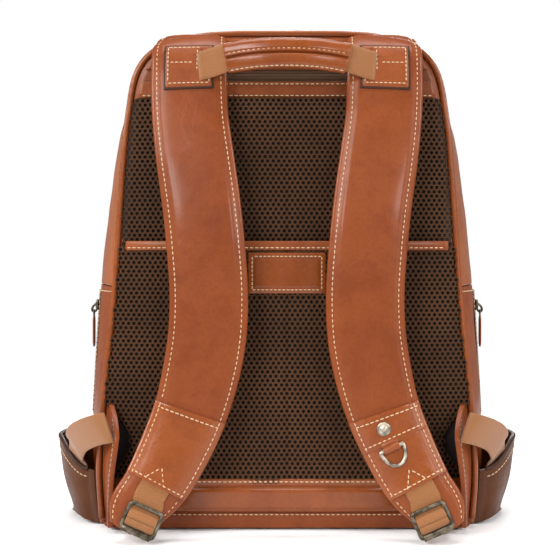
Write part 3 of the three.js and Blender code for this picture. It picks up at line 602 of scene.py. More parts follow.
def spacer(name, slot, colour):
    """Spacer mesh yarn, with painted shade that darkens it down in its holes."""
    m = Looks(name, slot)
    # The first cloth coordinate is painted shade: 0 at the rim of a hole, 1 (near-black) at its floor.
    depth = m.node("ShaderNodeSeparateXYZ", {"Vector": m.strip()}).outputs["X"]
    yarn = m.noise(1700, 3, 0.6)
    base = m.mix(m.span(m.noise(16, 4), 0.35, 0.7), shade(colour, 0.8), shade(colour, 1.25))
    base = m.mix(m.span(yarn, 0.35, 0.75, 0, 0.6), base, shade(colour, 0.45))
    m.feed("Base Color", m.mix(depth, base, shade(colour, 0.1)))
    m.feed("Normal", m.bump(yarn, 0.0003, 0.7))
    m.feed("Roughness", 0.9)
    m.feed("Specular IOR Level", 0.2)
    return m.material


def thread(name, slot, colour):
    """Waxed contrast thread with its twist."""
    m = Looks(name, slot)
    twist = m.wave(m.strip(), 420.0, "X")
    m.feed("Base Color", m.mix(twist, shade(colour, 0.7), colour))
    m.feed("Normal", m.bump(twist, 0.0002, 0.5))
    m.feed("Roughness", 0.6)
    return m.material


def metal(name, slot, colour):
    """Antiqued cast metal with dark patina and brighter rubbed places."""
    m = Looks(name, slot)
    wear = m.span(m.noise(180, 5, 0.6), 0.4, 0.65)
    m.feed("Base Color", m.mix(wear, shade(colour, 0.45), shade(colour, 1.5)))
    m.feed("Metallic", 1.0)
    m.feed("Roughness", m.span(m.noise(90, 4), 0.3, 0.7, 0.26, 0.5))
    m.feed("Normal", m.bump(m.noise(500, 3), 0.0002, 0.4))
    return m.material


def cloth(name, slot, colour):
    """Plain woven cloth: the lining, and the near-black painted shade behind the mesh."""
    m = Looks(name, slot)
    across, upright = (m.wave(m.place, 520.0, direction) for direction in "XZ")
    weave = m.node("ShaderNodeMath", {0: across, 1: upright}, operation="MULTIPLY").outputs[0]
    m.feed("Base Color", m.mix(weave, shade(colour, 0.75), shade(colour, 1.15)))
    m.feed("Normal", m.bump(weave, 0.0003, 0.5))
    m.feed("Roughness", 0.85)
    return m.material


TAN = leather("tan_leather", "tan_leather", (0.184, 0.037, 0.0055))
SATIN = leather("satin_leather", "tan_leather", (0.2, 0.043, 0.0062), rough=0.3, coat=0.45, grain=0.8)
# Paler copy of the tan leather: painted light on the top walls, where light falls from above.
LIT_TOP_LEATHER = leather("lit_top_leather", "tan_leather", (0.26, 0.066, 0.014), rough=0.36, coat=0.5)
YOKE = leather("deep_leather", "deep_leather", (0.215, 0.048, 0.0092), rough=0.44)
# Darkened copy of the tan leather: painted shade for the bottle pockets, which sit in shadow at the sides.
SHADED_POCKET_LEATHER = leather("pocket_leather", "tan_leather", (0.072, 0.02, 0.0045), rough=0.5, coat=0.03)
EDGE = leather("leather_edge", "deep_leather", (0.035, 0.013, 0.006), rough=0.55, coat=0.1)
TWILL = webbing("webbing", "webbing", (0.265, 0.094, 0.018))
TAPE = tape("zip_tape", "zip_tape", (0.12, 0.055, 0.026))
SPACER = spacer("spacer_mesh", "mesh", (0.07, 0.03, 0.013))
THREAD = thread("thread", "webbing", (0.64, 0.45, 0.27))
METAL = metal("antique_metal", "antique_metal", (0.12, 0.1, 0.072))
WORN = metal("worn_metal", "antique_metal", (0.4, 0.35, 0.28))
LINING = cloth("lining_cloth", "lining", (0.17, 0.12, 0.085))
# Near-black cloth is painted shade: the deep shadow behind the mesh and between the wings and the mesh.
PAINTED_SHADE_CLOTH = cloth("painted_shade_cloth", "mesh", (0.012, 0.007, 0.005))


# ---- shell of the bag ----
def fold(piece):
    """Bakes a piece's placement into its mesh."""
    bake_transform(piece)


def shell_wall(name, span, y0, y1, counts, look, node, body="bag"):
    def surface(u, v, inset):
        s, y = lerp(*span, u), lerp(y0, y1, v)
        p = wall_at(s, y)
        sag = (1.1 * rumple(p, 46, 1.7) + 0.5 * rumple(p, 17, 5.1)) * math.sin(math.pi * v) ** 0.5
        return wall_at(s, y, inset or -sag - 0.2)

    return skin(name, surface, (0, 2.5), counts, look, [node], body, bevel=0.7)


def make_shell():
    low, under, over = (share_at(z) / 2 for z in (5.2, SEAM_Z - 0.4, SEAM_Z + 0.4))
    for side, label in SIDES.items():
        span = (low, under) if side < 0 else (1 - low, 1 - under)
        shell_wall("side_wall_" + label, span, -INNER_Y, INNER_Y, (64, 44), TAN, "side_gusset_" + label)
    span = (over, 1 - over)
    rear, front = box_mm("main_zip_rear")[0][1] - 0.3, box_mm("main_zip_front")[1][1] + 0.3
    # The top walls wear the paler copy of the tan leather: painted light on the top.
    shell_wall("top_wall_rear", span, -INNER_Y, rear, (200, 26), LIT_TOP_LEATHER, "top_gusset_rear")
    fold(shell_wall("top_wall_front", span, front, INNER_Y, (200, 12), LIT_TOP_LEATHER, "top_gusset_front", None))
    edge = [(side_x(2, y), y) for y in spread(-INNER_Y, INNER_Y, 12)]
    edge += [(-x, y) for x, y in reversed(edge)]
    rings = [[(x * k, y * k, z) for x, y in edge] for z, k in ((0, 0.99), (1, 1), (3.4, 1), (4, 0.99))]
    tube_piece("base", rings, TAN, ["base_panel"])


def rim_points(out):
    """Places (x, z) along the outline, pushed outward by out(x, z)."""
    foot = share_at(8) / 2
    points = []
    for s in spread(foot, 1 - foot, 240):
        (x, z), (nx, nz) = outline_at(s), outward_at(s)
        push = out(x, z)
        points.append((x + nx * push, z + nz * push))
    return points


def make_panels():
    def back(u, v, depth):
        z = lerp(0.6, TOP_Z - 0.6, v)
        return [lerp(-1, 1, u) * (half_at(z) - 0.4), BACK_Y + depth, z]

    skin("back_leather", back, (0, 3.6), (40, 60), YOKE, ["back_panel"], bevel=0.8)

    def front(u, v, inset):
        z = lerp(0.8, TOP_Z - 0.5, v)
        x = lerp(-1, 1, u) * half_at(z)
        return [x, FRONT_Y - inset if inset else front_face(x, z), z]

    def held(u, v):
        x, _, z = front(u, v, 0)
        return edge_gap(x, z) < 13 or pocket_gap(x, z) < 8

    nodes, cloth_rules = ["front_panel_lower", "front_panel_upper"], (held, 2.5, 7)
    panel = skin("front_leather", front, (0, 3.6), (72, 96), TAN, nodes, None, bevel=0.8, cloth=cloth_rules)
    fold(panel)
    path = [(x, FRONT_Y + 0.6, z) for x, z in rim_points(lambda x, z: 1.5)]
    fold(swept("front_piping_roll", path, round_section(2.3, 2.4, 2, 12), (0, 1, 0), SATIN, body=None))
    run = [((x, front_face(x, z) + 0.2, z), (0, 1, 0)) for x, z in rim_points(lambda x, z: -7)]
    fold(stitches("front_edge_stitches", [run], None))


def edge_gap(x, z):
    """Roughly how far a point of the front lies from the panel's rim."""
    return min(half_at(z) - abs(x), TOP_Z - z, z)


def pocket_gap(x, z):
    """How far a point lies outside the front pocket."""
    low, high = FRONT_POCKET
    return math.hypot(max(low[0] - x, 0, x - high[0]), max(low[2] - z, 0, z - high[2]))


def front_face(x, z):
    """The front's puffed leather, flat where the pocket is sewn on."""
    w = clamp(x / half_at(z), -1, 1)
    v = z / TOP_Z
    puff = 7 * (1 - abs(w) ** 5) * (1 - abs(2 * v - 1) ** 6) * smooth((pocket_gap(x, z) + 1) / 26)
    return FRONT_Y + puff + 1.2 * rumple((x, 0, z), 60, 9) * smooth((edge_gap(x, z) - 3) / 20)


def make_piping():
    rim = rim_points(lambda x, z: 3.0 + 0.25 * rumple((x, 0, z), 25, 2))
    path = [(x, BACK_Y + 1.6, z) for x, z in rim]
    swept("back_piping_roll", path, round_section(2.7, 2.9, 2, 12), (0, -1, 0), SATIN, ["back_piping"])


# ---- spacer mesh ----
CELL_X = 4.7
CELL_Z = 3.75


def spacer_mesh(name, surface, inside, z0, z1, half, node):
    """Honeycomb of small dished holes laid on a surface y(x, z)."""
    points, faces, coords, index = [], [], [], {}
    lift = CELL_Z / 1.5
    corners = [(0, lift), (CELL_X / 2, lift / 2), (CELL_X / 2, -lift / 2)]
    corners += [(-a, -b) for a, b in corners]
    # Each ring: its share of the cell, how far it sinks, and the painted shade of the hole at that depth.
    rings = ((0.8, -0.28, 0.0), (0.6, 0.1, 0.1), (0.52, 1.0, 0.75), (0.45, 1.7, 1.0))

    def vertex(x, z, push, dark):
        key = (round(x, 2), round(z, 2), push)
        if key not in index:
            index[key] = len(points)
            points.append([x, surface(x, z) + push, z])
            coords.append((dark, 0, 0))
        return index[key]

    columns = int(half / CELL_X) + 1
    for r in range(int((z1 - z0) / CELL_Z) + 1):
        z = z0 + r * CELL_Z
        for c in range(-columns, columns + 1):
            x = (c + 0.5 * (r % 2)) * CELL_X
            if not inside(x, z):
                continue
            loop = [vertex(x + a, z + b, 0.0, 0.0) for a, b in corners]
            wobble = 1 + 0.07 * rumple((x, 0, z), 3, 4)
            for share, push, dark in rings:
                ring = [vertex(x + a * share * wobble, z + b * share * 1.12, push, dark) for a, b in corners]
                for k in range(6):
                    n = (k + 1) % 6
                    faces.append((loop[k], loop[n], ring[n], ring[k]))
                loop = ring
            faces.append(tuple(loop))
    new_piece(name, points, faces, SPACER, [node], coords=coords, closed=False)


def pad_face(x, z):
    """Front of the upper pad: crowned in two lobes, falling away at its edges."""
    w = abs(x) / (half_at(z) - 3)
    rise = 8.2 * (1 - clamp(w) ** 5)
    rise *= smooth((z - SLEEVE_TOP + 30) / 60) * 0.75 + 0.25
    rise *= 1 - 0.35 * smooth((z - PAD_TOP + 16) / 16)
    return BACK_FACE - 1 - rise + 1.8 * dip(x, 0, 4) + 0.5 * rumple((x, 0, z), 40, 3)


def sleeve_rear(x):
    """Rear side of the luggage sleeve: it stands off the back in the middle."""
    w = clamp(abs(x) / 150)
    return BACK_FACE - 0.4 - 8 * (1 - w**4)


def sleeve_face(x, z):
    return sleeve_rear(x) - 3 + 1.6 * dip(x, 0, 4) + 0.5 * rumple((x, 0, z), 38, 7)


def sleeve_edge(z):
    """Half width of the mesh: drawn in above the bottom corners, baring the near-black painted shade behind
    it.
    """
    pull = 26 * smooth((z - 36) / 38) * smooth((114 - z) / 42)
    return half_at(z) - 3 - pull


def make_mesh():
    def on_pad(x, z):
        return abs(x) < half_at(z) - 0.8 and SLEEVE_TOP - 12 < z < PAD_TOP + 1

    def on_sleeve(x, z):
        return abs(x) < sleeve_edge(z) + 3.5

    def backing(u, v, push):
        z = lerp(BOTTOM_BAND[0] + 4, BAND_LOW + 2, v)
        x = lerp(-1, 1, u) * (sleeve_edge(z) - 1)
        return [x, sleeve_face(x, z) + push, z]

    def core(name, margin, face, z0, z1, rear):
        def surface(u, v, back):
            z = lerp(z0, z1, v)
            x = lerp(-1, 1, u) * (half_at(z) - margin)
            return [x, BACK_FACE + back if back else face(x, z), z]

        return skin(name, surface, (0, rear), (60, 44), PAINTED_SHADE_CLOTH, bevel=0.8)

    # The pad core, sleeve backing and back cloth are near-black painted shade, seen through and beside the
    # mesh.
    pad = core("mesh_pad_core", 0.6, lambda x, z: pad_face(x, z) + 1.9, SLEEVE_TOP + 2, PAD_TOP, -0.1)
    skin("sleeve_backing", backing, (2.0, 2.8), (60, 44), PAINTED_SHADE_CLOTH)
    core("back_cloth", 1.5, lambda x, z: BACK_FACE - 0.3, 3, SLEEVE_TOP + 2, 0.2)
    spacer_mesh("mesh_upper", pad_face, on_pad, SLEEVE_TOP - 10, PAD_TOP, 150, "mesh_pad_upper")
    low, high = BOTTOM_BAND[1] - 2, BAND_LOW + 3
    spacer_mesh("mesh_sleeve", sleeve_face, on_sleeve, low, high, 165, "luggage_sleeve")


# ---- leather trim on the back ----
def back_strip(name, z0, z1, face, thick, look, margin, nodes=(), counts=(72, 8)):
    def surface(u, v, depth):
        z = lerp(z0, z1, v)
        x = lerp(-1, 1, u) * (half_at(z) - margin)
        return [x, face(x, z) + depth, z]

    skin(name, surface, (0, thick), counts, look, nodes, bevel=0.6)


def back_run(reach, z, face):
    """A straight stitch run across the back at one height."""
    return [((x, face(x, z) - 0.15, z), (0, -1, 0)) for x in spread(-reach, reach, 40)]


def make_sleeve_trim():
    def band_face(x, z):
        middle = (BAND_LOW + SLEEVE_TOP) / 2
        return sleeve_rear(x) - 3.7 - 0.7 * (1 - ((z - middle) / 5) ** 2)

    back_strip("sleeve_band", BAND_LOW, SLEEVE_TOP, band_face, 2.4, YOKE, 5, ["sleeve_top_band"], (72, 6))
    stitches("sleeve_band_stitches", [back_run(138, BAND_LOW + 2.2, band_face)])
    low, high = BOTTOM_BAND

    def bottom_face(x, z):
        ends = smooth((100 - abs(x)) / 26)
        raised = smooth((z - low - 1.5) / 2.5) * smooth((high - 7.5 - z) / 2.5)
        groove = 1.4 * dip(z, high - 6.8, 0.9)
        return sleeve_rear(x) - 3.2 - 2.2 * raised * ends + groove + 0.3 * rumple((x, 0, z), 20, 6)

    def hem_face(x, z):
        return BACK_FACE - 6.5 - 1.6 * (1 - ((z - low / 2) / 9) ** 2)

    back_strip("sleeve_foot", low, high, bottom_face, 2.4, SATIN, 6, ["sleeve_bottom_band"], (110, 24))
    back_strip("back_hem", 1.2, low - 0.5, hem_face, 5.5, TAN, 3, counts=(72, 10))
    runs = [back_run(130, high - 2.4, bottom_face), back_run(130, low - 3.2, hem_face)]
    stitches("sleeve_foot_stitches", runs)


def make_label():
    """A blank patch with a stitched border."""
    (x0, y, z0), (x1, _, z1) = box_mm("label_patch")

    def face(x, z):
        edge = min(x - x0, x1 - x, z - z0, z1 - z)
        return y + 0.6 - 0.8 * smooth(edge / 2.5) + 0.5 * dip(edge, 4.6, 0.7)

    def surface(u, v, depth):
        x, z = lerp(x0, x1, u), lerp(z0, z1, v)
        return [x, face(x, z) + depth, z]

    skin("label", surface, (0, 1.4), (66, 36), SATIN, ["label_patch"], bevel=0.4)
    inset = 3.2
    left, right, low, high = x0 + inset, x1 - inset, z0 + inset, z1 - inset
    corners = [(left, low), (right, low), (right, high), (left, high)]
    runs = []
    for a, b in zip(corners, corners[1:] + corners[:1]):
        runs.append([((x, face(x, z) - 0.15, z), (0, -1, 0)) for x, z in between(a, b, 8)])
    stitches("label_stitches", runs, pitch=3.6, size=0.85)


def make_yoke():
    """Leather above the mesh, in two parts round the rear pocket zip."""
    low, high = box_mm("rear_zip_tape")

    def face(x, z):
        edges = smooth((z - PAD_TOP) / 3) * smooth((TOP_Z - 4 - z) / 8)
        return BACK_FACE - 1.2 - 1.5 * edges + 0.3 * rumple((x, 0, z), 25, 8)

    def zip_face(u, v, depth):
        coil = 1.3 * dip(v, 0.5, 0.09) + 0.5 * dip(v, 0.25, 0.05) + 0.5 * dip(v, 0.75, 0.05)
        return [lerp(low[0], high[0], u), high[1] - 0.6 - coil + depth, lerp(low[2] - 1, high[2] + 1, v)]

    back_strip("yoke_lower", PAD_TOP + 0.5, low[2] - 0.6, face, 2.2, YOKE, 3.5, ["rear_yoke"])
    back_strip("yoke_upper", high[2] + 0.6, TOP_Z - 2.5, face, 2.2, YOKE, 3.5, counts=(72, 14))
    reach = half_at(PAD_TOP + 2.6) - 7
    stitches("yoke_stitches", [back_run(reach, PAD_TOP + 2.6, face), back_run(112, low[2] - 2.6, face)])
    skin("rear_zip", zip_face, (0, 0.5), (60, 40), TAPE, ["rear_zip_tape"], tile=(0.2, 0.012))


# ---- straps ----
def strap_ring(t, side, layer, low, grow):
    """Closed cross-section of a strap layer: puffed top, rolled edges, flat underside."""
    ring = []
    for w in spread(-1, 1, 26):
        wave = 0.5 * rumple(strap_point(t, w, 0, side), 42, 11) * (1 - w**4)
        ring.append(strap_point(t, w * grow, strap_top(w, layer) + wave, side))
    roll = [(1.014, 0.72), (1.02, 0.45), (1.012, 0.18), (0.985, 0.0)]
    under = [(w * 0.97, 0) for w in spread(1, -1, 8)[1:-1]]
    for w, up in roll + under + [(-w, up) for w, up in reversed(roll)]:
        ring.append(strap_point(t, w * grow, lerp(low, strap_top(1, layer), up), side))
    return ring


def strap_piece(name, t0, t1, steps, side, look, node, layer=0.0, low=0.4, grow=1.0):
    rings = [strap_ring(t, side, layer, low, grow) for t in spread(t0, t1, steps)]
    tube_piece(name, rings, look, [node], bevel=0.8)


def strap_run(start, end, top, side, steps=60):
    """A stitch run over a face top(t, w) of the strap, between two (t, w) places."""
    run = []
    for t, w in between(start, end, steps):
        at, _, _, away = strap_frame(t, w, top(t, w) + 0.15, side)
        run.append((list(at), list(away)))
    return run


def make_strap(side, label):
    strap_piece("strap_leather_" + label, STRAP_TOP, STRAP_END, 165, side, TAN, "strap_face_" + label)
    section = round_section(0.985, 1.0, 4.5, 28)
    rings = []
    for t in spread(STRAP_TOP, STRAP_END, 110):
        rings.append([strap_point(t, a, lerp(-4.6, 0.2, (b + 1) / 2), side) for a, b in section])
    tube_piece("strap_padding_" + label, rings, YOKE, ["strap_pad_" + label])
    tabbed = side > 0  # the right strap carries the ring tab
    top = TAB_END if tabbed else END_SEAM_TOP
    layer = PATCH_LAYER
    node = "strap_end_patch_" + label
    strap_piece("strap_end_" + label, top, END_SEAM_BOTTOM, 40, side, SATIN, node, layer, 3.2, 1.004)
    runs = []

    def sew(start, end, height, steps):
        runs.append(strap_run(start, end, lambda t, w: strap_top(w, height), side, steps))

    for w in (-STITCH_W, STITCH_W):
        sew((STRAP_TOP + 0.3, w), (END_SEAM_TOP, w), 0, 130)
        if tabbed:
            sew((END_SEAM_TOP, w), (TAB_END, w), TAB_LAYER, 20)
        sew((top, w), (END_SEAM_BOTTOM, w), layer, 60)
        sew((END_SEAM_BOTTOM + 0.1, w), (STRAP_END - 0.15, w), 0, 60)
    seams = [(END_SEAM_TOP + 0.13, layer + (0.7 if tabbed else 0)), (END_SEAM_BOTTOM - 0.1, layer)]
    for t, height in seams + ([(TAB_END - 0.12, TAB_LAYER)] if tabbed else []):
        sew((t, -0.97), (t, 0.97), height, 16)
    shift = 0.1 if tabbed else 0.0
    triangle = [(12.9, -0.42 + shift), (12.5, -0.1 + shift), (12.96, 0.26 + shift)]
    for start, end in zip(triangle, triangle[1:]):
        sew(start, end, layer, 8)
    stitches("strap_stitches_" + label, runs)


def make_handle_patch(side, label):
    t0, t1 = PATCH_SPAN
    w0, w1 = -PATCH_HALF, PATCH_HALF

    def top(t, w):
        edge = min((t - t0) * 18, (t1 - t) * 22, (w - w0) * 31, (w1 - w) * 31)
        inside = smooth((t - t0 - 0.18) * 8) * smooth((t1 - t - 0.38) * 8)
        slot = 1.6 * smooth(1 - abs(w - 0.36) / 0.07) * inside
        return strap_top(w * 0.6) + 2.0 - 0.9 * smooth(1 - edge / 1.6) - slot

    def face(u, v, sunk):
        t, w = lerp(t0, t1, u), lerp(w0, w1, v)
        return strap_point(t, w, strap_top(w * 0.6) - 0.4 if sunk else top(t, w), side)

    def rim(u, v, lift):
        t, w = lerp(t0 - 0.05, t1 + 0.07, u), lerp(w0 - 0.045, w1 + 0.045, v)
        return strap_point(t, w, strap_top(w * 0.6) + lift, side)

    name = "handle_anchor_"
    skin(name + "edge_" + label, rim, (1.1, -0.6), (24, 24), EDGE, bevel=0.5)
    skin(name + label, face, (0, 1), (44, 52), YOKE, ["handle_patch_" + label], bevel=0.5)
    low, high, w = t0 + 0.13, t1 - 0.15, 0.55
    middle = (t0 + t1) / 2 - 0.05
    lines = [
        ((low, -w), (high, -w)),
        ((high, -w), (high, w)),
        ((high, w), (high - 0.4, w)),
        ((low, -w), (low, 0.4)),
        ((low + 0.1, 0.23), (high - 0.35, 0.23)),
        ((middle, -0.5), (middle, 0.2)),
    ]
    runs = [strap_run(start, end, top, side, 12) for start, end in lines]
    stitches(name + "stitches_" + label, runs, pitch=3.9, size=0.95)


# ---- ribbons of webbing ----
def ribbon_piece(name, stations, node, body="bag", width=WEB, thick=WEB_THICK, steps=60):
    """Webbing through stations of a place and the direction across the tape."""
    rows = [(i, *station) for i, station in enumerate(stations)]
    last = len(rows) - 1
    rings, coords, length = [], [], 0.0
    before = None
    section = round_section(width / 2, thick / 2, 6, 28)
    for key in spread(0, last, steps):
        here = through(rows, key)
        ahead = Vector(through(rows, min(key + 0.01, last))[:3])
        behind = Vector(through(rows, max(key - 0.01, 0))[:3])
        run = (ahead - behind).normalized()
        across = Vector(here[3:])
        across = (across - run * across.dot(run)).normalized()
        normal = run.cross(across)
        at = Vector(here[:3])
        length += (at - (before or at)).length
        before = at
        rings.append([list(at + across * a + normal * b) for a, b in section])
        coords += [(length * MM, a * MM, 0) for a, _ in section]
    points, faces = tube(rings)
    coords += [(0, 0, 0)] * (len(points) - len(coords))
    return new_piece(name, points, faces, TWILL, [node], body, coords)


def make_buckle(side, label):
    body = "buckle_body_" + label
    low, high = box_mm("buckle_" + label)
    at = (Vector(low) + Vector(high)) / 2
    away = strap_frame(BUCKLE["key"], 0, 0, side)[3]
    across = Vector((-side * BUCKLE["lie"][0], BUCKLE["lie"][1], BUCKLE["lie"][2]))
    across = (across - away * across.dot(away)).normalized()
    along = across.cross(away) * -side

    def local(a, b, c):
        return at + across * a + along * b + away * c

    half_a, half_b, corner = BUCKLE["across"] / 2 - 1.5, BUCKLE["along"] / 2 - 1.6, 2.6
    path = []
    for cx, cy, start in ((1, 1, 0), (-1, 1, 90), (-1, -1, 180), (1, -1, 270)):
        for angle in spread(math.radians(start), math.radians(start + 90), 6):
            x = cx * (half_a - corner) + corner * math.cos(angle)
            y = cy * (half_b - corner) + corner * math.sin(angle)
            path.append(local(x, y, 0))
    path = dense(path + path[:1], 1.2)[:-1]
    node = ["buckle_" + label]
    swept("buckle_frame_" + label, path, round_section(1.6, 1.5, 3, 14), away, METAL, node, body, closed=True)
    foot = [local(a, half_b, -0.2) for a in spread(-half_a + 1.5, half_a - 1.5, 12)]
    swept("buckle_foot_" + label, foot, round_section(2.7, 1.9, 3, 14), away, METAL, body=body)
    bar = [local(a, 0, 0) for a in spread(-half_a, half_a, 12)]
    swept("buckle_bar_" + label, bar, round_section(1.4, 1.2, 2.4, 12), away, METAL, body=body)

    def stations(places):
        return [[*local(0, b, c), *across] for b, c in places]

    upper = []
    for key in (-0.12, 0.06, 0.5):
        p, a, _, _ = strap_frame(END_SEAM_BOTTOM + key, 0, strap_top(0) + 1.0, side)
        upper.append([*p, *a])
    upper += stations(((-12, -2.7), (-8.5, -2.0), (-5, 0.4), (-1.6, 1.9), (0.2, 1.6), (0.9, 0.2)))
    lower = stations(((1.6, 0.6), (2.6, 1.8), (5, 1.3), (8, -1.4), (11, -3.1), (12.8, -6.2), (13, -12)))
    end = lower[-1]
    floor_z = 8.9  # where the lower web is sewn into the bag's foot
    lower.append([end[0] + side, lerp(end[1], BACK_FACE, 0.5), floor_z, *across])
    lower.append([end[0] + side * 2, BACK_FACE - 0.4, floor_z, *across])
    sewn = strap_frame(END_SEAM_BOTTOM + 0.1, 0, 5, side)[0]
    floor_end = Vector(lower[-1][:3])
    webs = (("buckle_web", upper, 60, sewn, -3), ("adjuster_web", lower, 90, floor_end, 3))
    for stem, places, steps, far, b in webs:
        name = stem + "bing_" + label
        piece = ribbon_piece(name, places, stem + "_" + label, None, steps=steps)
        tuple(local(0, b, 0) * MM)
        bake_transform(piece)


# ---- wings, bottle pockets and their webbing ----
WING = [(5, 24), (40, 29), (80, 30), (95, 20), (107, 6)]
SIDE_WEB = [
    (-149.8, -106.8, 91),
    (-159.5, -102, 88.5),
    (-170.5, -91.5, 84),
    (-180.5, -78, 77.5),
    (-185.5, -65, 69),
    (-185, -53, 60),
    (-184, -40, 42),
]


def make_corner(side, label):
    def wing(u, v, depth):
        z = lerp(WING[0][0], WING[-1][0], v)
        reach = through(WING, z)[0]
        x = -half_at(z) + 2.5 + reach * u * (0.2 + 0.0028 * z) + depth
        roll = 0.6 * dip(u, 0.97, 0.05) * (1 if depth > 0 else -1)
        return [-side * (x + roll), BACK_FACE - 0.2 - reach * u, z]

    skin("wing_leather_" + label, wing, (-1.5, 1.5), (24, 50), TAN, ["wing_" + label], bevel=0.9)
    hem = [(wing(0.86, v, -1.6), (side, 0, 0)) for v in spread(0.03, 0.9, 40)]
    stitches("wing_stitches_" + label, [hem], size=0.9)
    low, high = box_mm("side_pocket_" + label)

    def pocket(u, v, inset):
        y = lerp(low[1] + inset, high[1] - inset, u)
        full = math.sin(math.pi * u) ** 0.33 if 0 < u < 1 else 0.0
        deep = 2.9 + 23.1 * full
        rim = lerp(47, 70, math.sin(math.pi * min(u * 1.5, 0.5)))
        rows = [(0, 0, 0), (0.3, max(deep - 5, 0.4), 0), (0.5, deep, 6), (1, deep + 5 * full, rim - 0.5)]
        out, up = through(rows, v)
        reach = max(out - inset, 0)
        floor_z = 0.5 + inset + 7.5 * (reach / 26) ** 1.5 * smooth((10 - y) / 60)
        z = rim if v == 1 else max(0.5 + inset + up - (inset * (v - 0.5) * 2 if v > 0.5 else 0), floor_z)
        sag = 0.0 if inset else (1.5 * rumple((reach, y, z), 24, 13) + 3.2 * dip(z, 1.5, 3)) * full
        return [side * (side_x(min(z, rim), y) + 0.4 + reach + sag), y, z]

    node = "side_pocket_" + label
    # The bottle pocket wears the darkened copy of the tan leather: painted shade.
    skin("bottle_pocket_" + label, pocket, (0, 2.2), (90, 48), SHADED_POCKET_LEATHER, [node], bevel=0.6)
    rim_path, run = [], []
    for angle in spread(0, math.pi, 120):
        u = 0.5 - 0.497 * math.cos(angle)
        p, q = Vector(pocket(u, 1, 0)), Vector(pocket(u, 1, 2.2))
        rim_path.append((p + q) / 2 + Vector((0, 0, 0.8 + (p.z - q.z) / 2)))
        below, ahead, behind = (Vector(pocket(clamp(u + k), 0.93, 0)) for k in (0, 0.004, -0.004))
        out = Vector((ahead.y - behind.y, behind.x - ahead.x, 0)).normalized() * side
        run.append((below + out * 0.3, out))
    swept("pocket_binding_" + label, rim_path, round_section(2.0, 1.9, 3, 12), (0, 0, 1), EDGE)
    stitches("pocket_stitches_" + label, [run])
    roll = []
    for z in spread(3, 96, 48):
        roll.append((side * (half_at(z) + 2.4 + 0.5 * rumple((0, 0, z), 20, 31)), -66.5, z))
    swept("corner_roll_" + label, roll, round_section(3.6, 3.3, 2, 14), (0, -1, 0), SATIN)
    stations = [[-side * x, y, z, -side * 0.5, 0, -0.85] for x, y, z in SIDE_WEB]
    ribbon_piece("pocket_webbing_" + label, stations, "pocket_web_" + label, width=27)


# ---- carry handle ----
# Left half of the handle's centre line: x, y, z.
HANDLE_LINE = [
    (-72.5, -107.3, 395),
    (-61, -110, 398),
    (-49.5, -114, 401.5),
    (-25, -119, 404.5),
    (0, -120.5, 405.3),
]


def make_handle():
    rows = HANDLE_LINE + [(-x, y, z) for x, y, z in reversed(HANDLE_LINE[:-1])]
    end = rows[-1][0]
    tuck_x, tuck_y, tuck_z = 74.5, -103.5, HANDLE_LINE[0][2] - 0.6
    stations = [[-tuck_x, tuck_y, tuck_z, 0, 0, 1]]
    for x in spread(-end, end, 30):
        y, z = through(rows, x)
        stations.append([x, y, z - smooth((48 - abs(x)) / 6), 0, 0, 1])
    stations.append([tuck_x, tuck_y, tuck_z, 0, 0, 1])
    ribbon_piece("handle_webbing", stations, "handle_web", "handle", 24, 1.8, 140)

    def grip_frame(x):
        at, ahead = (Vector((k, *through(rows, k))) for k in (x, x + 0.5))
        run = (ahead - at).normalized()
        normal = Vector((0, 1, 0))
        normal = (normal - run * run.y).normalized()
        up = normal.cross(run)
        return at, -up if up.z < 0 else up, normal

    half = box_mm("handle_grip")[1][0] - 1.5
    rings = []
    for x in spread(-half, half, 60):
        at, up, normal = grip_frame(x)
        ring = []
        for c, s in directions(96, 2.8):
            b, d = 12.8 * c - 1.5, 5.6 * s
            if s < 0:
                d += 3.8 * dip(b, -1.2, 0.9) + 0.6 * (dip(b, 2.0, 0.7) + dip(b, -12.2, 0.7))
            swell = 1 + 0.03 * rumple((x, b, d), 14, 15)
            ring.append(list(at + up * (b * swell) + normal * (d * swell)))
        rings.append(ring)
    tube_piece("handle_leather", rings, SATIN, ["handle_grip"], "handle", 0.8)
    runs = []
    for b, depth in ((2.0, 4.9), (-12.2, 3.9)):
        run = []
        for x in spread(-half + 2, half - 2, 40):
            at, up, normal = grip_frame(x)
            run.append((at + up * b - normal * depth, -normal))
        runs.append(run)
    stitches("handle_stitches", runs, "handle", pitch=4.2)


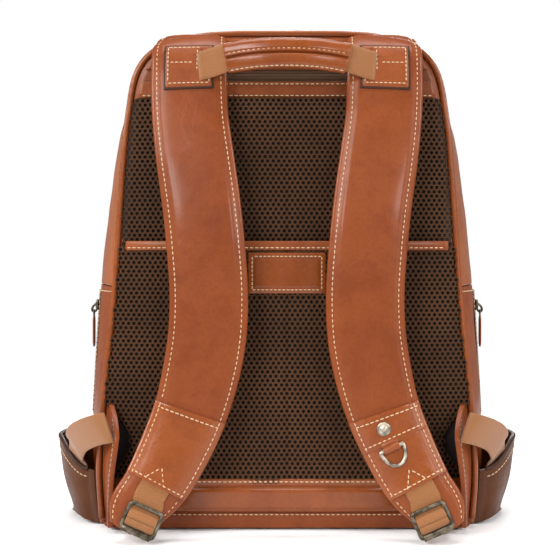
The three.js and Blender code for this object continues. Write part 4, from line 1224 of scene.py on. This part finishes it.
# ---- ring tab ----
def make_ring_tab():
    side = 1
    strap_piece("ring_tab", END_SEAM_TOP, TAB_END, 16, side, SATIN, "dring_tab", TAB_LAYER, 3.2, 1.004)
    at, across, along, away = strap_frame(RING_SEAM - 0.29, 0.17, strap_top(0.17, TAB_LAYER), side)
    profile = [(0.0, 5.8), (0.6, 5.9), (1.1, 5.4), (1.2, 4.2), (0.9, 3.6)]
    profile += [(1.0, 3.0), (1.9, 2.6), (2.3, 1.8), (2.45, 0.1)]
    rings = []
    for lift, radius in profile:
        circle = [(radius * c, radius * s) for c, s in directions(24)]
        rings.append([list(at + across * a + along * b + away * lift) for a, b in circle])
    tube_piece("rivet_stud", rings, WORN, ["rivet"])

    joint = next(j for j in frame["joints"] if j["name"] == "ring_swing")
    pivot = Vector(joint["pos_m"]) / MM
    _, across, along, away = strap_frame(RING_SEAM + 0.21, 0.185, 0, side)
    bar, drop = 10.0, 15.0
    path = [pivot + across * k for k in spread(-bar, bar, 8)]
    for angle in spread(0, math.pi, 24)[1:-1]:
        path.append(pivot + across * bar * math.cos(angle) + along * drop * math.sin(angle) ** 0.9)
    path = dense(path + path[:1], 1.2)[:-1]
    swept("d_ring_wire", path, round_section(1.6, 1.6, 2, 12), away, WORN, ["d_ring"], "ring", closed=True)
    loop = []
    for angle in spread(math.radians(-70), math.radians(200), 18):
        loop.append(pivot + along * 2.6 * math.cos(angle) + away * 2.6 * math.sin(angle))
    loop += [pivot - along * k + away * h for k, h in ((3.5, 0.2), (5.5, -0.6), (7.5, -1.8))]
    ups = []
    for i in range(len(loop)):
        ups.append(across.cross(loop[min(i + 1, len(loop) - 1)] - loop[max(i - 1, 0)]).normalized())
    swept("ring_keeper", loop, round_section(7.2, 0.65, 6, 20), ups, SATIN)


# ---- zips ----
def zip_teeth(name, path, normals, body="bag", pitch=2.6):
    """Two rows of interlocking teeth along a path."""
    points, faces = [], []
    path = dense(path, pitch)
    corners = [(a, b, c) for c in (-1, 1) for a, b in ((-1, -1), (1, -1), (1, 1), (-1, 1))]
    quads = ((0, 3, 2, 1), (4, 5, 6, 7), (0, 1, 5, 4), (1, 2, 6, 5), (2, 3, 7, 6), (3, 0, 4, 7))
    for i, at in enumerate(path):
        along = (path[min(i + 1, len(path) - 1)] - path[max(i - 1, 0)]).normalized()
        normal = Vector(normals[round(i / (len(path) - 1) * (len(normals) - 1))])
        normal = (normal - along * normal.dot(along)).normalized()
        side = along.cross(normal)
        for hand in (-1, 1):
            centre = at + along * (pitch / 4 * hand) + side * (1.1 * hand)
            base = len(points)
            for a, b, c in corners:
                taper = 0.8 if c > 0 else 1.0
                out = along * (a * 0.55 * taper) + side * (b * 1.8 * taper) + normal * (c * 0.7 + 0.5)
                points.append(list(centre + out))
            faces += [tuple(base + q for q in quad) for quad in quads]
    return new_piece(name, points, faces, METAL, body=body)


def make_main_zip():
    over = share_at(SEAM_Z + 0.4) / 2
    for end, body in (("rear", "bag"), ("front", None)):
        low, high = box_mm("main_zip_" + end)

        def surface(u, v, inset):
            ridge = 0.35 * abs(math.sin(v * math.pi * 4)) * (inset < 1)
            return wall_at(lerp(over, 1 - over, u), lerp(low[1], high[1], v), inset - ridge)

        node = ["main_zip_" + end]
        piece = skin("zip_tape_" + end, surface, (0.6, 1.6), (160, 16), TAPE, node, body, (0.7, 0.0147))
        if body is None:
            fold(piece)
    path, normals = [], []
    for s in spread(over + 0.004, 1 - over - 0.004, 200):
        nx, nz = outward_at(s)
        path.append(wall_at(s, low[1] + 1.2, 0.2))
        normals.append((nx, 0, nz))
    fold(zip_teeth("zip_teeth", path, normals, None))


def slider_piece(name, seat, axes, body, node):
    """Zip slider: a waisted body with a lengthwise hook for its puller."""
    x_axis, y_axis, z_axis = axes
    rings = []
    for lift, grow in ((0.1, 0.9), (0.5, 1.0), (1.5, 1.0), (2.2, 0.92), (2.7, 0.72)):
        ring = []
        for (a, b), (c, _) in zip(directions(28, 3.5), directions(28)):
            waist = 1 - 0.16 * (1 - abs(c)) ** 2
            out = x_axis * (5 * a * grow) + y_axis * (4 * b * grow * waist)
            ring.append(list(seat + out + z_axis * lift))
        rings.append(ring)
    tube_piece(name, rings, METAL, [node], body, 0.3)
    hook = ((-0.8, 2.4), (0.4, 4.4), (2.4, 5.9), (4.6, 6.3), (6.1, 5.6), (6.5, 4.3), (5.6, 3.0), (4.4, 2.3))
    rows = [(i, x, z) for i, (x, z) in enumerate(hook)]
    path = []
    for key in spread(0, len(hook) - 1, 28):
        x, z = through(rows, key)
        path.append(seat + x_axis * x + z_axis * z)
    swept(name + "_bridge", path, round_section(1.1, 0.55, 2.5, 10), y_axis, METAL, body=body)


def puller_piece(name, seat, axes, body, node, length):
    """Metal eye and a stitched leather tab hanging from it."""
    x_axis, y_axis, z_axis = axes
    pivot = seat + x_axis * 4.6 + z_axis * 4.5
    eye = [pivot + x_axis * (3.5 + 3.5 * c) + y_axis * (2.6 * s) for c, s in directions(24)]
    swept(name + "_eye", eye, round_section(0.55, 0.55, 2, 10), z_axis, METAL, [node], body, closed=True)
    low = 5.2
    rings = []
    for share in spread(0, 1, 24):
        middle = pivot + x_axis * lerp(low, length, share)
        width = 3.6 * min(1, 0.75 + share * 3) * (1 - 0.45 * smooth((share - 0.9) / 0.1))
        thick = 1.1 * (1 - 0.4 * abs(2 * share - 1) ** 6)
        section = round_section(width, thick, 3.5, 20)
        rings.append([list(middle + y_axis * a + z_axis * b) for a, b in section])
    tube_piece(name + "_tab", rings, SATIN, body=body)
    run = [(pivot + x_axis * x + z_axis * 1.15, z_axis) for x in spread(low + 3, length - 3, 8)]
    stitches(name + "_stitches", [run], body, pitch=3.2, size=0.8)


def slider_and_puller(stem, seat, axes, slide_body, pull_body, length, suffix=""):
    seat, axes = Vector(seat), [Vector(axis) for axis in axes]
    slider_piece(stem + "_body" + suffix, seat, axes, slide_body, stem + suffix)
    node = stem.replace("slider", "puller") + suffix
    puller_piece(stem.replace("slider", "pull") + suffix, seat, axes, pull_body, node, length)


def make_zip_hardware():
    """Sliders and pullers. Axes point the way the puller hangs, across the zip and out of it."""
    back, front, up, down = (0, -1, 0), (0, 1, 0), (0, 0, 1), (0, 0, -1)
    for side, label in SIDES.items():
        suffix, out = "_" + label, (side, 0, 0)
        low, high = box_mm("main_slider" + suffix)
        seat = (side * 8, (low[1] + high[1]) / 2, low[2])
        bodies = "main_slide" + suffix, "main_pull" + suffix
        slider_and_puller("main_slider", seat, (out, front, up), *bodies, 30, suffix)
        low, high = box_mm("side_slider" + suffix)
        seat = (high[0] if side < 0 else low[0], (low[1] + high[1]) / 2, high[2] - 5)
        bodies = "side_slide" + suffix, "side_pull" + suffix
        slider_and_puller("side_slider", seat, (down, front, out), *bodies, 34, suffix)
    low, high = box_mm("rear_zip_slider")
    seat = ((low[0] + high[0]) / 2, high[1], high[2] - 5)
    slider_and_puller("rear_zip_slider", seat, (down, (1, 0, 0), back), "rear_slide", "rear_pull", 15)
    low, high = box_mm("front_pocket_slider")
    seat = ((low[0] + high[0]) / 2, low[1], high[2] - 5)
    slider_and_puller("front_pocket_slider", seat, (down, (-1, 0, 0), front), "front_slide", "front_pull", 30)


def make_side_zip(side, label):
    (_, y0, z0), (_, y1, z1) = box_mm("side_zip_" + label)

    def wall(y, z, lift):
        return [side * (side_x(z, y) + lift), y, z]

    def surface(u, v, lift):
        return wall(lerp(y0, y1, v), lerp(z0, z1, u), 0.3 + lift)

    out = (side, 0, 0)
    node = "side_zip_" + label
    skin("side_tape_" + label, surface, (0.9, 0.0), (60, 20), TAPE, [node], tile=(0.11, 0.014))
    middle = (y0 + y1) / 2
    path = [wall(middle, z, 0.9) for z in spread(z0 + 1, z1 - 1, 40)]
    zip_teeth("side_teeth_" + label, path, [out], pitch=2.2)
    runs = [[(wall(y, z, 0.9), out) for z in spread(z0 - 2, z1, 30)] for y in (y0 - 3.2, y1 + 3.2)]
    runs.append([(wall(y, SEAM_Z - 4, 0.8), out) for y in spread(-66, 66, 40)])
    stitches("side_stitches_" + label, runs)


# ---- front pocket ----
def make_front_pocket():
    low, high = FRONT_POCKET
    z_low, z_high = box_mm("front_pocket_zip_tape")
    half, half_z = high[0], (high[2] - low[2]) / 2
    middle = (low[2] + high[2]) / 2
    deep = high[1] - low[1]

    def ease(u):
        a = 2 * u - 1
        return math.copysign(1 - (1 - abs(a)) ** 1.8, a)

    def sag(x, z):
        return 1.8 * rumple((x, 0, z), 45, 21) + 0.7 * rumple((x, 0, z), 16, 22)

    def front(u, v, inset):
        a, b = ease(u), ease(v)
        rise = (deep - inset) * (1 - abs(a) ** 7) * (1 - abs(b) ** 7)
        x, z = a * (half - inset), middle + b * (half_z - inset)
        return [x, low[1] + rise + (0 if inset else sag(x, z) * rise / deep), z]

    def held(u, v):
        x, _, z = front(u, v, 0)
        near_zip = z_low[0] - 5 < x < z_high[0] + 5 and z_low[2] - 5 < z < z_high[2] + 5
        return near_zip or min(u, v, 1 - u, 1 - v) < 0.16

    def zip_face(u, v, depth):
        return [lerp(z_low[0], z_high[0], u), z_high[1] + 0.8 - depth, lerp(z_low[2], z_high[2], v)]

    node, cloth_rules = "front_pocket", (held, 3, 5)
    face = skin("pocket_leather", front, (0, 2.6), (90, 72), TAN, [node], bevel=0.6, cloth=cloth_rules)
    node = "front_pocket_zip_tape"
    skin("pocket_tape", zip_face, (0, 2.4), (80, 12), TAPE, [node], tile=(0.144, 0.012))
    zip_z, out = (z_low[2] + z_high[2]) / 2, (0, 1, 0)
    path = [[x, z_high[1] + 0.7, zip_z] for x in spread(z_low[0] + 2, z_high[0] - 2, 20)]
    zip_teeth("pocket_teeth", path, [out], pitch=2.2)
    runs = []
    for z in (z_low[2] - 2.5, z_high[2] + 2.5):
        line = spread(z_low[0], z_high[0], 30)
        runs.append([((x, low[1] + deep + sag(x, z) + 0.15, z), out) for x in line])
    stitches("pocket_stitches_front", runs)


def make_lining():
    low, high = box_mm("lining")
    thick = 1.2

    def ring(z, inset):
        half = through(HALF_WIDTHS, z)[0] - 4 - inset
        return [[a, b, z] for a, b in round_section(half, high[1] - inset, 8, 72)]

    levels = spread(low[2], high[2], 12)
    rings = [ring(z, 0) for z in levels] + [ring(z, thick) for z in reversed(levels[1:])]
    tube_piece("lining_bag", rings + [ring(low[2] + thick, thick)], LINING, ["lining"])


# ---- studio ----
def make_floor():
    """Pale disc under the bag that fades out to the white surround."""
    radii, sides, level = (0.3, 0.7, 1.2, 1.8), 64, -0.0005
    points = [(r * c, r * s, level) for r in radii for c, s in directions(sides)] + [(0, 0, level)]
    faces = [(k, (k + 1) % sides, len(points) - 1) for k in range(sides)]
    for inner in range(0, (len(radii) - 1) * sides, sides):
        outer = inner + sides
        for k in range(sides):
            n = (k + 1) % sides
            faces.append((inner + k, outer + k, outer + n, inner + n))
    mesh = bpy.data.meshes.new("floor")
    mesh.from_pydata(points, [], faces)
    floor = bpy.data.objects.new("floor", mesh)
    bpy.context.scene.collection.objects.link(floor)
    m = Looks("floor_paint", None)
    m.feed("Base Color", (0.9, 0.9, 0.9))
    m.feed("Roughness", 0.85)
    m.feed("Specular IOR Level", 0.1)
    reach = m.node("ShaderNodeVectorMath", {0: m.place}, operation="LENGTH").outputs["Value"]
    clear = m.node("ShaderNodeBsdfTransparent").outputs["BSDF"]
    fade = m.span(reach, 0.45, 1.5)
    shown = m.node("ShaderNodeMixShader", {0: fade, 1: m.shader.outputs["BSDF"], 2: clear}).outputs["Shader"]
    m.tree.links.new(shown, m.tree.nodes["Material Output"].inputs["Surface"])
    mesh.materials.append(m.material)


def make_world():
    """White behind the object, and a dimmer surround for light and reflections."""
    world = bpy.data.worlds.new("studio")
    world.use_nodes = True
    tree = world.node_tree
    dim = tree.nodes["Background"]
    dim.inputs["Color"].default_value = (1, 0.98, 0.95, 1)
    dim.inputs["Strength"].default_value = 0.27
    seen = tree.nodes.new("ShaderNodeBackground")
    seen.inputs["Color"].default_value = (1, 1, 1, 1)
    seen.inputs["Strength"].default_value = 1.0
    path = tree.nodes.new("ShaderNodeLightPath")
    blend = tree.nodes.new("ShaderNodeMixShader")
    for i, source in enumerate((path.outputs["Is Camera Ray"], dim.outputs[0], seen.outputs[0])):
        tree.links.new(source, blend.inputs[i])
    tree.links.new(blend.outputs[0], tree.nodes["World Output"].inputs["Surface"])
    bpy.context.scene.world = world
    bpy.context.scene.view_settings.view_transform = "Standard"


def make_studio():
    make_floor()
    make_world()

    def area(name, at, size, power, aim=(0, -0.05, 0.22)):
        data = bpy.data.lights.new(name, "AREA")
        data.shape = "RECTANGLE"
        data.size, data.size_y = size
        data.energy = power
        lamp = bpy.data.objects.new(name, data)
        lamp.location = at
        lamp.rotation_euler = (Vector(aim) - Vector(at)).to_track_quat("-Z", "Y").to_euler()
        bpy.context.scene.collection.objects.link(lamp)

    area("key", (-1.1, -1.9, 1.25), (0.8, 0.8), 27)
    area("glint", (-0.7, -2.0, 0.75), (0.3, 0.3), 8)
    area("glint_right", (0.75, -2.0, 0.7), (0.3, 0.3), 7)
    area("fill", (1.5, -1.6, 0.7), (0.5, 1.2), 9)
    area("top", (0.0, -0.25, 1.6), (1.2, 0.6), 18)
    area("left_rim", (-1.7, -0.4, 1.05), (0.3, 0.9), 26, (0, -0.05, 0.32))
    area("right_rim", (1.7, -0.4, 1.05), (0.3, 0.9), 20, (0, -0.05, 0.32))
    area("rear", (0.3, 1.9, 1.1), (1.4, 0.8), 30)

    distance, height, view_width = 1.1, 0.24, 0.4872
    camera = bpy.data.cameras.new("camera")
    camera.sensor_width = 36
    camera.lens = 36 * distance / view_width
    camera.shift_x = -0.0125
    camera.shift_y = -0.053
    holder = bpy.data.objects.new("camera", camera)
    holder.location = (0, -0.07 - distance, height)
    holder.rotation_euler = (math.pi / 2, 0, 0)
    bpy.context.scene.collection.objects.link(holder)
    bpy.context.scene.camera = holder


make_studio()
make_shell()
make_panels()
make_piping()
make_mesh()
make_sleeve_trim()
make_label()
make_yoke()
for pair in SIDES.items():
    make_strap(*pair)
    make_handle_patch(*pair)
    make_buckle(*pair)
    make_corner(*pair)
    make_side_zip(*pair)
make_ring_tab()
make_handle()
make_main_zip()
make_zip_hardware()
make_front_pocket()
make_lining()
